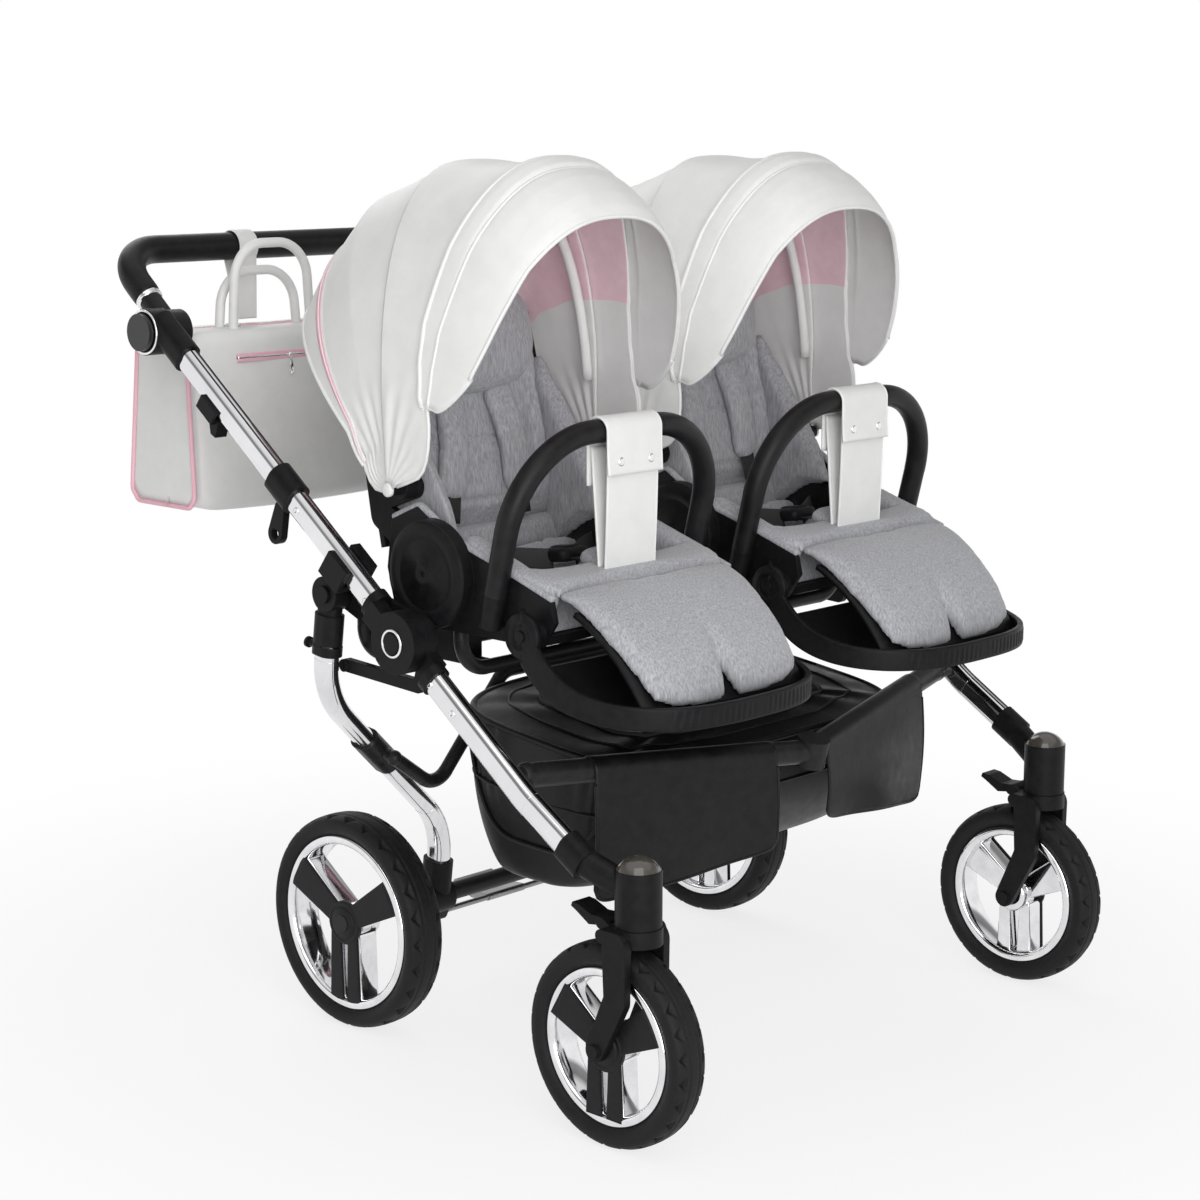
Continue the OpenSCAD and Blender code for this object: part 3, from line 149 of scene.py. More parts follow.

# Side tubes: extruded oval aluminium, polished and plated; the shade of two grooves along the top is painted
# as thin black strips.
# The lower pair is bent over a former, the upper pair is straight; screws pin them in their sockets.


def finish(name, dark, light, rough, scale, stretch=(1.0, 1.0, 1.0), lean=(0.0, 0.0, 0.0), bump=0.1,
           bump_scale=900.0, depth=0.0003, cells=False, metal=0.0, edge=0.0, **sockets):
    """Procedural finish: noise on Object coordinates varies the colour and the roughness, a finer
    noise or cell pattern raises the grain, and an edge radius rounds sharp moulded corners."""
    material = bpy.data.materials.new(name)
    material.use_nodes = True
    tree = material.node_tree
    shader = tree.nodes["Principled BSDF"]
    shader.inputs["Metallic"].default_value = metal
    for socket, value in sockets.items():
        shader.inputs[socket.replace("_", " ")].default_value = value
    place = add(tree, "TexCoord", {}).outputs["Object"]
    mapping = add(tree, "Mapping", {"Scale": stretch, "Rotation": lean, "Vector": place}).outputs["Vector"]
    noise = add(tree, "TexNoise", {"Scale": scale, "Detail": 5.0, "Roughness": 0.62, "Vector": mapping})
    cloud = noise.outputs["Fac"]
    spread = add(tree, "MapRange", {"From Min": 0.3, "From Max": 0.7, "To Min": rough[0],
                                    "To Max": rough[1], "Value": cloud})
    if cells:
        grain = add(tree, "TexVoronoi", {}, feature="SMOOTH_F1")
    else:
        grain = add(tree, "TexNoise", {"Detail": 3.0})
    grain.inputs["Scale"].default_value = bump_scale
    tree.links.new(mapping, grain.inputs["Vector"])
    raised = grain.outputs["Distance" if cells else "Fac"]
    relief = add(tree, "Bump", {"Strength": bump, "Distance": depth, "Height": raised})
    if edge:
        rounding = add(tree, "Bevel", {"Radius": edge}, samples=4)
        tree.links.new(rounding.outputs["Normal"], relief.inputs["Normal"])
    tree.links.new(ramp(tree, cloud, (0.32, dark), (0.68, light)), shader.inputs["Base Color"])
    tree.links.new(spread.outputs["Result"], shader.inputs["Roughness"])
    tree.links.new(relief.outputs["Normal"], shader.inputs["Normal"])
    return material


def dress(material, *node_names):
    """Gives CAD nodes a finish in every material slot."""
    for name in node_names:
        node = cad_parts[name]
        if not node.material_slots:
            node.data.materials.append(material)
        for slot in node.material_slots:
            slot.material = material


chrome = finish("polished_tube", (0.70, 0.70, 0.72), (0.84, 0.84, 0.85), (0.06, 0.13), 60.0,
                stretch=(1.0, 0.1, 0.1), bump=0.03, bump_scale=260.0, metal=1.0)
dress(chrome, "lower_tubes", "upper_tubes", "rear_legs")

# Moulded fittings: hinges, guides, brackets, sockets, clamps, forks and levers in black nylon with a
# fine spark texture and softened edges, screwed or pinned to the tubes.
nylon = finish("black_nylon", (0.007, 0.007, 0.008), (0.012, 0.012, 0.013), (0.36, 0.50), 90.0,
               bump=0.12, bump_scale=1500.0, depth=0.0002, edge=0.0016, Specular_IOR_Level=0.12)
dress(nylon, "hinge_bodies", "leg_guides", "front_brackets", "seat_adaptors", "seat_shells",
      "hinge_knuckles", "hook_clamps", "handle_sockets", "fold_trigger_left", "fold_trigger_right",
      "leg_sockets", "axle_brackets", "lock_studs", "fork_left", "fork_right", "swivel_lock_left",
      "swivel_lock_right", "backrest_frame_left", "backrest_frame_right")
button_black = finish("button_black", (0.014, 0.014, 0.015), (0.022, 0.022, 0.023), (0.28, 0.38), 120.0,
                      bump=0.06, edge=0.0012)
dress(button_black, "handle_button_left", "handle_button_right")
smoke = finish("smoke_cap", (0.050, 0.044, 0.038), (0.085, 0.076, 0.066), (0.10, 0.18), 70.0,
               bump=0.03, Coat_Weight=0.7, Coat_Roughness=0.06)
dress(smoke, "swivel_caps")
coated = finish("black_coated_tube", (0.013, 0.013, 0.014), (0.021, 0.021, 0.022), (0.30, 0.42), 80.0,
                bump=0.14, bump_scale=700.0, Specular_IOR_Level=0.18)
dress(coated, "seat_carriers", "front_bar", "basket_hoop", "handle_tube", "rear_axle")
steel = finish("zinc_steel", (0.26, 0.26, 0.27), (0.36, 0.36, 0.37), (0.28, 0.42), 150.0,
               stretch=(0.2, 1.0, 1.0), bump=0.08, metal=1.0)
dress(steel, "brake_shaft")

# Wheels: foamed rubber tyres with notched shoulders on plated nylon rims. Black three-arm covers
# are clipped on the outer face, the lower arm being two bars with the plating showing between.


def patch(points, around=False, looped=False, ends=False, paint=0):
    """One grid of a piece: points [row, column, xyz] in millimetres, how its edges join, its finish."""
    return {"points": np.asarray(points, float), "around": around, "looped": looped, "ends": ends,
            "paint": paint}


def closed(points, paint=0):
    """Grid whose columns go around and whose two ends are closed, such as a bar."""
    return patch(points, around=True, ends=True, paint=paint)


def hoop(points, paint=0):
    """Grid that goes around both ways, such as a tyre."""
    return patch(points, around=True, looped=True, paint=paint)


def placed(name, mesh, body, replaced):
    """Object of a finished mesh, told which body it rides on and the nodes it replaces."""
    piece = shown(name, mesh)
    if body:
        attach(piece, body)
    if replaced:
        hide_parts(*replaced)
    return piece


mm = 0.001
weld = 2e-6


def forge(name, patches, finishes, body, slot, *replaced):
    """One piece from grids of points: a face joins each four neighbours, the last column joins the
    first where a grid goes around, the last row the first where it is looped, and ends are closed
    with a fan. Doubled points are merged, faces turned outwards, and the piece rides on its body."""
    blocks = []
    faces = []
    paints = []
    count = 0
    for grid in patches:
        points = grid["points"]
        rows, columns = points.shape[:2]
        index = count + np.arange(rows * columns).reshape(rows, columns)
        if grid["around"]:
            index = np.hstack([index, index[:, :1]])
        if grid["looped"]:
            index = np.vstack([index, index[:1]])
        quads = np.stack([index[:-1, :-1], index[:-1, 1:], index[1:, 1:], index[1:, :-1]], -1)
        paint = np.broadcast_to(grid["paint"], quads.shape[:2]).reshape(-1)
        faces += quads.reshape(-1, 4).tolist()
        paints += paint.tolist()
        block = points.reshape(-1, 3)
        if grid["ends"]:
            tip = np.full(index.shape[1] - 1, count + rows * columns)
            faces += np.stack([tip, index[0, 1:], index[0, :-1]], -1).tolist()
            faces += np.stack([tip + 1, index[-1, :-1], index[-1, 1:]], -1).tolist()
            paints += [int(paint[0])] * (2 * len(tip))
            block = np.vstack([block, points[0].mean(0), points[-1].mean(0)])
        blocks.append(block)
        count += len(block)
    mesh = bpy.data.meshes.new(name)
    mesh.from_pydata((np.vstack(blocks) * mm).tolist(), [], faces)
    mesh.polygons.foreach_set("material_index", paints)
    for material in finishes:
        mesh.materials.append(material)
    tidy = bmesh.new()
    tidy.from_mesh(mesh)
    bmesh.ops.remove_doubles(tidy, verts=tidy.verts, dist=weld)
    bmesh.ops.recalc_face_normals(tidy, faces=tidy.faces)
    tidy.to_mesh(mesh)
    tidy.free()
    mesh.polygons.foreach_set("use_smooth", np.ones(len(mesh.polygons), bool))
    return placed(name, mesh, body, replaced)


def joined(*parts):
    """Points from their coordinates, which are spread to one shape first."""
    return np.stack(np.broadcast_arrays(*parts), -1)


def full_turn(count):
    """Even angles once round, without the last one, which is the first again."""
    return np.linspace(0.0, 2.0 * np.pi, count, endpoint=False)


def signed(x, power):
    """The size of x raised to a power and given back its sign."""
    return np.sign(x) * np.abs(x) ** power


def within(x):
    """The value held between zero and one."""
    return np.clip(x, 0.0, 1.0)


def bell(x, width):
    """Bell curve: one at zero, falling as the exponential of minus the square of x over the width."""
    return np.exp(-(x / width) ** 2)


def oval(count, power=2.0, wide=1.0, high=1.0):
    """Closed outline: a superellipse, cosine and sine each raised to 2 / power and given back their sign."""
    a = full_turn(count)
    c = np.cos(a)
    s = np.sin(a)
    return joined(wide * signed(c, 2.0 / power), high * signed(s, 2.0 / power))


def turned(section, centre, side, count):
    """Section [radius, across] turned about an axle along X: y and z go round with the radius."""
    a = full_turn(count)[:, None]
    x = side * (centre[0] + section[:, 1]) + 0.0 * a
    return joined(x, centre[1] + section[:, 0] * np.cos(a), centre[2] + section[:, 0] * np.sin(a))


rubber = finish("foamed_rubber", (0.008, 0.008, 0.009), (0.014, 0.014, 0.014), (0.50, 0.66), 110.0,
                bump=0.2, bump_scale=1100.0, Specular_IOR_Level=0.2)
plated = finish("plated_rim", (0.72, 0.72, 0.74), (0.86, 0.86, 0.87), (0.05, 0.11), 40.0, bump=0.02,
                metal=1.0)
cover_black = finish("wheel_cover", (0.010, 0.010, 0.011), (0.016, 0.016, 0.017), (0.42, 0.54), 100.0,
                     bump=0.1, bump_scale=1500.0, Specular_IOR_Level=0.16)
rim_wall = 11.0
hub_d = 46.0
hands = ((1, "left"), (-1, "right"))


def tyre_skin(centre, side, radius, width, depth, notches):
    """Tyre: a rounded tread on straight walls turned about the axle. Two fine grooves run round the
    tread, and triangles narrowing towards the wall are pressed into both shoulders."""
    a = np.linspace(0.0, np.pi, 61)
    tread = joined(radius - depth * 0.62 + depth * 0.62 * np.sin(a) ** 0.55,
                   width / 2.0 * signed(np.cos(a), 0.8))
    bead = np.array([[radius - depth, -width / 2.0 + 6.0], [radius - depth, width / 2.0 - 6.0]])
    section = np.vstack([tread, bead])
    skin = turned(section, centre, side, notches * 14)
    angle = full_turn(notches * 14)[:, None]
    beat = (angle * notches / (2.0 * np.pi)) % 1.0
    across = np.abs(section[:, 1]) / (width / 2.0)
    share = within((across - 0.50) / 0.44)
    inside = (across > 0.50) & (across < 0.94) & (section[:, 0] > radius - depth * 0.8)
    cut = 4.6 * within(7.0 * (0.34 * (1.0 - share) - np.abs(beat - 0.5))) * inside
    groove = 1.4 * bell(across - 0.30, 0.05) * (section[:, 0] > radius - depth * 0.5)
    inward = (cut + groove)[..., None] * joined(np.zeros_like(angle), -np.cos(angle), -np.sin(angle))
    return hoop(skin + inward)


def rim_parts(centre, side, radius, width):
    """Rim: a lipped ring and a hub turned about the axle, and arms as rounded bars from hub to ring."""
    inner = radius - rim_wall
    lip = width / 2.0
    ring = np.array([[inner - 2, -lip + 9], [inner, -lip + 5], [inner + 2.5, -lip + 3.4],
                     [radius - 2.5, -lip + 3.4], [radius - 0.3, -lip + 6], [radius - 0.3, lip - 6],
                     [radius - 2.5, lip - 3.4], [inner + 2.5, lip - 3.4], [inner, lip - 5],
                     [inner - 2, lip - 9], [inner - 2, 0.0]])
    hub = np.array([[7, -22], [20, -22], [hub_d / 2, -19], [hub_d / 2, 19], [20, 22], [7, 22]])
    deep = width * 0.62
    face = 4.0 + deep / 2.0
    cap = np.array([[0.0, face + 5.0], [19.0, face + 5.0], [20.5, face + 4.0], [21.0, face + 2.6],
                    [23.0, face + 2.6], [24.5, face + 3.4], [27.0, face + 3.2], [28.5, face + 2.0],
                    [28.5, face - 4.0], [0.0, face - 4.0]])
    parts = [hoop(turned(ring, centre, side, 144)), hoop(turned(hub, centre, side, 48)),
             hoop(turned(cap, centre, side, 72), 1)]
    outline = oval(24, 9.0)
    for at, offset, slim, broad in ((30.0, 0.0, 13.0, 23.0), (150.0, 0.0, 13.0, 23.0),
                                    (-90.0, 16.0, 8.0, 11.5), (-90.0, -16.0, 8.0, 11.5)):
        lean = math.radians(at)
        out = np.linspace(9.0, inner + 1.0, 14)[:, None]
        half = slim + (broad - slim) * (out - 9.0) / (inner - 8.0)
        for low, high, grow, paint in ((4.0 - deep / 2.0, face - 1.5, 0.0, 0),
                                       (face - 2.0, face + 2.4, 0.6, 1)):
            sway = offset + (half + grow) * outline[:, 0]
            x = side * (centre[0] + (low + high) / 2.0 + (high - low) / 2.0 * outline[:, 1] + 0.0 * out)
            y = centre[1] + out * math.cos(lean) - sway * math.sin(lean)
            z = centre[2] + out * math.sin(lean) + sway * math.cos(lean)
            parts.append(closed(joined(x, y, z), paint))
    return parts


for side, hand in hands:
    for end, centre, radius, width, depth, notches in (
            ("rear", (342.0, 106.0, 140.0), 140.0, 54.0, 25.0, 25),
            ("front", (400.0, -409.0, 121.0), 121.0, 48.0, 27.0, 26)):
        body = f"{end}_wheel_{hand}"
        forge(f"{end}_tyre_notched_{hand}", [tyre_skin(centre, side, radius, width, depth, notches)],
              [rubber], body, "tyre", f"{end}_tyre_{hand}")
        forge(f"{end}_rim_spider_{hand}", rim_parts(centre, side, radius - depth, width),
              [plated, cover_black], body, "rim_chrome", f"{end}_rim_{hand}")

# Push bar: a bent tube wrapped in black leatherette, sewn along its underside, with a thin plated
# ring where the wrap ends on each arm.


def unit(v):
    """The vector at length one."""
    return v / np.linalg.norm(v, axis=-1, keepdims=True)


def span(count, low=0.0, high=1.0):
    """Even steps from a low to a high value."""
    return np.linspace(low, high, count)


def spaced(path, count):
    """The same path with its points spaced evenly along its length."""
    length = np.concatenate([[0.0], np.cumsum(np.linalg.norm(np.diff(path, axis=0), axis=1))])
    even = np.linspace(0.0, length[-1], count)
    return joined(*[np.interp(even, length, path[:, k]) for k in range(3)])


def bent_path(corners, radius, count):
    """Path through corners, each turned as an arc of one radius, then spaced evenly along its length."""
    corners = [np.asarray(c, float) for c in corners]
    runs = [corners[0][None]]
    for before, here, after in zip(corners, corners[1:], corners[2:]):
        a = unit(before - here)
        b = unit(after - here)
        half = 0.5 * math.acos(float(np.clip(a @ b, -1.0, 1.0)))
        centre = here + unit(a + b) * radius / math.sin(half)
        u = here + a * radius / math.tan(half) - centre
        v = here + b * radius / math.tan(half) - centre
        sweep = math.pi - 2.0 * half
        t = span(17)[:, None]
        runs.append(centre + (np.sin((1.0 - t) * sweep) * u + np.sin(t * sweep) * v) / math.sin(sweep))
    runs.append(corners[-1][None])
    return spaced(np.vstack(runs), count)


def carried(path, section, plane=(1.0, 0.0, 0.0)):
    """Section carried along a path: its first number goes along the plane's normal, its second across."""
    path = np.asarray(path, float)
    plane = unit(np.asarray(plane, float))
    tangent = unit(np.gradient(path, axis=0))
    across = unit(np.cross(plane, tangent))
    section = np.asarray(section, float)
    if section.ndim == 2:
        section = np.broadcast_to(section, (len(path),) + section.shape)
    return path[:, None] + section[..., :1] * plane + section[..., 1:] * across[:, None]


black_hide = finish("black_leatherette", (0.006, 0.006, 0.007), (0.012, 0.012, 0.013), (0.34, 0.48), 60.0,
                    bump=0.28, bump_scale=620.0, depth=0.0005, cells=True, Specular_IOR_Level=0.2)
bright = finish("bright_trim", (0.78, 0.78, 0.80), (0.90, 0.90, 0.91), (0.05, 0.10), 90.0, bump=0.02,
                metal=1.0)
joint = np.array([388.09, 886.11])
arm_way = np.array([math.cos(math.radians(39.0)), math.sin(math.radians(39.0))])
arm_x = 396.0
bar_at = joint + 155.0 * arm_way
wrap_from = joint + 62.0 * arm_way
grip_r = 18.75
bar_plane = (0.0, -arm_way[1], arm_way[0])
wrap_path = bent_path([(-arm_x, *wrap_from), (-arm_x, *bar_at), (arm_x, *bar_at), (arm_x, *wrap_from)],
                      65.0, 220)
ring = oval(40)
swell = np.ones(len(wrap_path))[:, None]
swell[:3, 0] = (0.93, 0.975, 0.995)
swell[-3:, 0] = (0.995, 0.975, 0.93)
seam = 1.0 + 0.035 * bell(ring[:, 0] + 1.0, 0.03) * (ring[:, 0] < -0.8)
wrap = grip_r * swell[..., None] * seam[None, :, None] * ring[None]
grip_parts = [closed(carried(wrap_path, wrap, bar_plane))]
step = np.array([0.0, *arm_way])
for mark in (wrap_path[0], wrap_path[-1]):
    for low, high, collar_r in ((-5.0, 1.0, 17.2), (-1.5, 0.5, 17.9)):
        collar = np.linspace(mark + low * step, mark + high * step, 4)
        grip_parts.append(closed(carried(collar, collar_r * ring), 1))
forge("grip_wrap", grip_parts, [black_hide, bright], "handle", "grip_leather", "handle_grip")

# Trim on the tubes: the painted shade of two grooves along the top of each side tube, laid on as thin black
# strips with no groove cut, screws beside the hinges, and plated rings pressed into the faces of the fold
# hinges and the handle joints.
hinge = np.array([-87.0, 546.0])
line_way = np.array([0.7948, 0.606867])
tube_x = 425.0
tube_half_h = 17.0
# Painted shade: this near-black finish goes on thin strips over the polished tube, standing for the shade
# inside a groove.
groove = finish("painted_groove_shade", (0.010, 0.010, 0.011), (0.020, 0.020, 0.021), (0.4, 0.55), 300.0)
lower_line = np.array([hinge - 58.0 * line_way, (-290.0, 391.0), (-377.0, 337.0)])
upper_line = np.array([hinge + 58.0 * line_way, hinge + 508.0 * line_way])
lower_trim = []
upper_trim = []
for side in (1, -1):
    for offset in (-3.6, 3.6):
        x = side * tube_x
        strip = np.array([offset, 0.0]) + oval(8, 4.0, 1.0, 0.4)
        low_path = bent_path([(x, *corner) for corner in lower_line], 200.0, 60)
        lower_trim.append(closed(carried(low_path, strip - [0.0, tube_half_h])))
        high_path = np.linspace((x, *upper_line[0]), (x, *upper_line[1]), 40)
        upper_trim.append(closed(carried(high_path, strip + [0.0, tube_half_h])))
    screw = np.array([[0.2, 1.2], [2.0, 1.2], [2.4, 2.0], [4.2, 1.6], [4.8, 0.4], [4.8, -1.0], [0.2, -1.0]])
    for s, trim in ((-70.0, lower_trim), (-118.0, lower_trim), (70.0, upper_trim), (228.0, upper_trim)):
        head = turned(screw, (tube_x + 12.0, *(hinge + s * line_way)), side, 20)
        trim.append(hoop(head, 1))
    for centre, inner in (((445.0, *hinge), 14.2), ((440.0, *joint), 25.6)):
        rim = np.array([[0.0, -0.5], [0.0, 1.8], [1.0, 2.5], [2.4, 2.5], [3.4, 1.8], [3.4, -0.5]])
        upper_trim.append(hoop(turned(rim + [inner, 0.0], centre, side, 64), 1))
forge("lower_tube_trim", lower_trim, [groove, bright], "chassis", "chrome_tube")
forge("upper_tube_trim", upper_trim, [groove, bright], "handle_frame", "chrome_tube")

# Back cushions: grey melange jersey sewn over wadding with stitched channels, clipped on the moulded
# backrests. A loose flap below each one covers the gap to the seat cushion.
liner = finish("liner_jersey", (0.27, 0.272, 0.295), (0.52, 0.523, 0.548), (0.78, 0.92), 460.0,
               stretch=(1.0, 1.0, 0.12), bump=0.35, bump_scale=900.0, depth=0.0005,
               Sheen_Weight=0.25, Sheen_Roughness=0.5)


voxel = 0.005
swell_frames = 20
swell_pressure = 4.0


def read(items, field):
    """Three numbers of every item of a mesh, one row each."""
    numbers = np.empty(len(items) * 3)
    items.foreach_get(field, numbers)
    return numbers.reshape(-1, 3)


def puffed(piece, cap, hold=None):
    """Swells a closed pad: the mesh is remeshed finely, blown up as cloth for some frames without
    weight, and each point keeps its movement up to the cap, times the share that `hold` gives it."""
    mesh = piece.data
    remesh = piece.modifiers.new("even_mesh", "REMESH")
    remesh.mode = "VOXEL"
    remesh.voxel_size = voxel
    bpy.context.view_layer.update()
    fine = bpy.data.meshes.new_from_object(piece.evaluated_get(bpy.context.evaluated_depsgraph_get()))
    piece.modifiers.clear()
    materials = list(mesh.materials)
    piece.data = fine
    fine.materials.clear()
    for material in materials:
        fine.materials.append(material)
    rest = read(fine.vertices, "co")
    moved = rest
    cloth = piece.modifiers.new("wadding", "CLOTH")
    cloth.settings.use_pressure = True
    cloth.settings.uniform_pressure_force = swell_pressure
    cloth.settings.effector_weights.gravity = 0.0
    cloth.point_cache.frame_end = swell_frames
    for step in range(1, swell_frames + 1):
        scene.frame_set(step)
    swollen = piece.evaluated_get(bpy.context.evaluated_depsgraph_get())
    moved = read(swollen.data.vertices, "co")
    piece.modifiers.clear()
    scene.frame_set(1)
    shift = moved - rest
    size = np.linalg.norm(shift, axis=1, keepdims=True)
    shift = shift * np.minimum(1.0, cap * mm / np.maximum(size, 1e-9))
    if hold is not None:
        shift = shift * hold(rest / mm)[:, None]
    fine.vertices.foreach_set("co", (rest + shift).reshape(-1))
    fine.polygons.foreach_set("use_smooth", np.ones(len(fine.polygons), bool))
    fine.update()


def pressed(piece, depth_at):
    """Sews channels into a pad: each point sinks along its normal by the depth given for its place."""
    mesh = piece.data
    co = read(mesh.vertices, "co")
    co = co - read(mesh.vertex_normals, "vector") * (depth_at(co / mm) * mm)[:, None]
    mesh.vertices.foreach_set("co", co.reshape(-1))
    mesh.update()


def mirrored(piece, name, body, slot, *replaced):
    """The same pad for the other seat: x changes sign and the faces are turned back outwards."""
    mesh = piece.data.copy()
    mesh.name = name
    flip = bmesh.new()
    flip.from_mesh(mesh)
    bmesh.ops.scale(flip, vec=(-1.0, 1.0, 1.0), verts=flip.verts)
    bmesh.ops.reverse_faces(flip, faces=flip.faces)
    flip.to_mesh(mesh)
    flip.free()
    return placed(name, mesh, body, replaced)


def pad(name, parts, body, cap, hold=None, channels=None, slot="grey_jersey", replaced=()):
    """A pad for both seats: forged and swollen on the left, its channels sewn in, then mirrored to the
    right. Braces in the names of the body and of the replaced nodes take the side."""
    left = forge(f"{name}_left", parts, [liner], None, slot, *[node.format("left") for node in replaced])
    puffed(left, cap, hold)
    if channels:
        pressed(left, channels)
    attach(left, body.format("left"))
    right_nodes = [node.format("right") for node in replaced if "{" in node]
    mirrored(left, f"{name}_right", body.format("right"), slot, *right_nodes)


def grid(rows, columns):
    """Two values over a grid, the first along its rows and the second along its columns."""
    return np.meshgrid(rows, columns, indexing="ij")


def pillow(top, low):
    """Closed pad from its upper and lower grids, which share their edges in plan."""
    return [patch(np.concatenate([top, low[:, ::-1]], 1), around=True),
            patch(np.stack([top[0], low[0]])), patch(np.stack([top[-1], low[-1]]))]


def crown(u, v):
    """Full in the middle, drawn down at the edges: the root of (1 - u^4)(1 - v^4)."""
    return np.sqrt(within((1.0 - u ** 4) * (1.0 - v ** 4)))


seat_x = 220.0
seat_at = np.array([-115.0, 556.0])
lean_back = math.radians(12.0)
up_back = np.array([math.sin(lean_back), math.cos(lean_back)])
off_back = np.array([-math.cos(lean_back), math.sin(lean_back)])
back_foot = seat_at + np.array([93.0, 92.0])
plate_low = back_foot - off_back * 33.0


def on_back(x, s, t):
    """Place on the backrest: x across the seat, s up the plate and t forward from its face."""
    return joined(seat_x + x, plate_low[0] + s * up_back[0] + t * off_back[0],
                  plate_low[1] + s * up_back[1] + t * off_back[1])


def back_depth(points):
    """Height of a point in front of the backrest plate."""
    return (points[:, 1] - plate_low[0]) * off_back[0] + (points[:, 2] - plate_low[1]) * off_back[1]


def up_plate(points):
    """Distance of a point up the backrest plate."""
    return (points[:, 1] - plate_low[0]) * up_back[0] + (points[:, 2] - plate_low[1]) * up_back[1]


def off_middle(points):
    """Distance of a point to the side of the seat's middle."""
    return np.abs(points[:, 0] - seat_x)


def back_channels(points):
    """Depth of the back cushion's sewn lines: two up its sides and two across between them."""
    between = off_middle(points) < 84.0
    across = bell(up_plate(points) - 118.0, 3.5) + bell(up_plate(points) - 40.0, 3.5)
    return (back_depth(points) > 6.0) * (5.0 * bell(off_middle(points) - 84.0, 3.5) + 4.0 * across * between)


v, u = grid(span(45, -1.0), span(41, -1.0))
wide = 134.0 * (1.0 - 0.03 * (1.0 - v ** 2)) * (1.0 - 0.16 * within(v - 0.55) ** 2)
rise = (v + 1.0) / 2.0 * 318.0 + 6.0
wing = within((np.abs(u) - 0.62) / 0.38)
thick = 8.0 + 18.0 * crown(u, v) + 16.0 * np.sin(np.pi * wing) * (1.0 - v ** 4)
pad("back_cushion", pillow(on_back(u * wide, rise, thick), on_back(u * wide * 0.985, rise, 0.6)),
    "back_{}", 8.0, lambda p: within((back_depth(p) - 2.0) / 8.0), back_channels,
    replaced=["backrest_pad_{}"])

v, u = grid(span(17, -1.0), span(41, -1.0))
flap_s = -9.0 + 23.0 * v
pad("back_flap", pillow(on_back(u * 137.5, flap_s, 12.0 + 12.0 * crown(u ** 5, v)),
                        on_back(u * 137.5, flap_s, 2.0)), "back_{}", 3.0,
    lambda p: within((138.0 - off_middle(p)) / 5.0))

# Head cushions: round pads of the same jersey, filled more firmly and hooked on the top of each back
# cushion.
rim_angle = full_turn(72)[None]
share = span(22)[:, None]
dome = np.sqrt(within(1.0 - share ** 3.2))
head_x = 118.0 * share * signed(np.cos(rim_angle), 0.75)
head_s = 248.0 + 76.0 * share * signed(np.sin(rim_angle), 0.75)
head_front = on_back(head_x, head_s, 32.0 + 32.0 * dome)
head_rear = on_back(head_x * 0.98, head_s, 24.0 - 4.0 * dome)
pad("head_cushion", [closed(np.concatenate([head_front, head_rear[::-1]]))], "back_{}", 7.0,
    lambda p: within((back_depth(p) - 26.0) / 8.0))

# Belt pads: short jersey sleeves over wadding, slipped over the shoulder belts.
# Two lie on each back cushion and widen apart towards the lap.
belt_pads = []
for x_top, x_low in ((-40.0, -56.0), (40.0, 60.0)):
    line = span(30)
    centre = on_back(x_top + (x_low - x_top) * line, 186.0 - 142.0 * line,
                     36.0 + 7.0 * np.sin(np.pi * line))
    taper = np.sqrt(np.clip(1.0 - (2.0 * line - 1.0) ** 10, 0.02, 1.0))[:, None, None]
    belt_pads.append(closed(carried(centre, taper * oval(36, 2.6, 8.5, 24.0)[None], (0.0, *off_back))))
pad("belt_pads", belt_pads, "back_{}", 5.0)

# Liner wings: padded jersey sides sewn to the edges of each back cushion. They reach forward inside
# the tub and recline with the back.
rise, fore = grid(span(45), span(25))
wing_s = -8.0 + 222.0 * rise - 26.0 * (1.0 - rise) * within(1.0 - fore / 0.6)
wing_t = 3.0 + fore * np.interp(wing_s, (-8.0, 40.0, 100.0, 160.0, 214.0), (116.0, 108.0, 86.0, 58.0, 30.0))
wing_thick = 5.0 + 11.0 * crown(2.0 * rise - 1.0, 2.0 * fore - 1.0)
wing_parts = []
for k in (-1.0, 1.0):
    wing_parts += pillow(on_back(k * (136.5 - wing_thick), wing_s, wing_t),
                         on_back(k * 136.8, wing_s, wing_t))
pad("liner_wings", wing_parts, "back_{}", 5.0, lambda p: within((137.0 - off_middle(p)) / 5.0))

# Side rolls and edge piping: jersey rolls stuffed with wadding along the tub's walls, a corded edge
# sewn over the rim of each wall, and a pad on the crotch belt.
wall_y = np.array([-290.0, -284.0, -200.0, -120.0, -60.0, -14.0])
wall_z = np.array([588.0, 612.0, 640.0, 664.0, 700.0, 680.0])
roll_parts = []
for k in (-1.0, 1.0):
    roll_y = np.linspace(-276.0, -123.0, 30)
    roll = joined(seat_x + k * 141.0, roll_y, np.interp(roll_y, wall_y, wall_z) - 9.0)
    ends_in = np.sqrt(np.clip(1.0 - span(30, -1.0) ** 12, 0.04, 1.0))[:, None, None]
    roll_parts.append(closed(carried(roll, ends_in * oval(32, 2.4, 13.5, 24.0)[None])))
pad("side_rolls", roll_parts, "chassis", 3.0)
for side, hand in hands:
    parts = []
    for k in (-1.0, 1.0):
        wall = [(side * seat_x + k * 153.0, y, z + 2.0) for y, z in zip(wall_y[1:], wall_z[1:])]
        parts.append(closed(carried(bent_path(wall, 12.0, 90), oval(14, 2.0, 4.6, 4.6))))
    bulge = span(21, -1.0)
    crotch_line = joined(side * seat_x, -220.0 - 22.0 * bulge, 634.0 - 7.0 * bulge)
    round_in = np.sqrt(np.clip(1.0 - bulge ** 8, 0.05, 1.0))[:, None, None]
    parts.append(closed(carried(crotch_line, round_in * oval(32, 2.6, 27.0, 11.0)[None])))
    forge(f"edge_piping_{hand}", parts, [liner], "chassis", "grey_jersey")

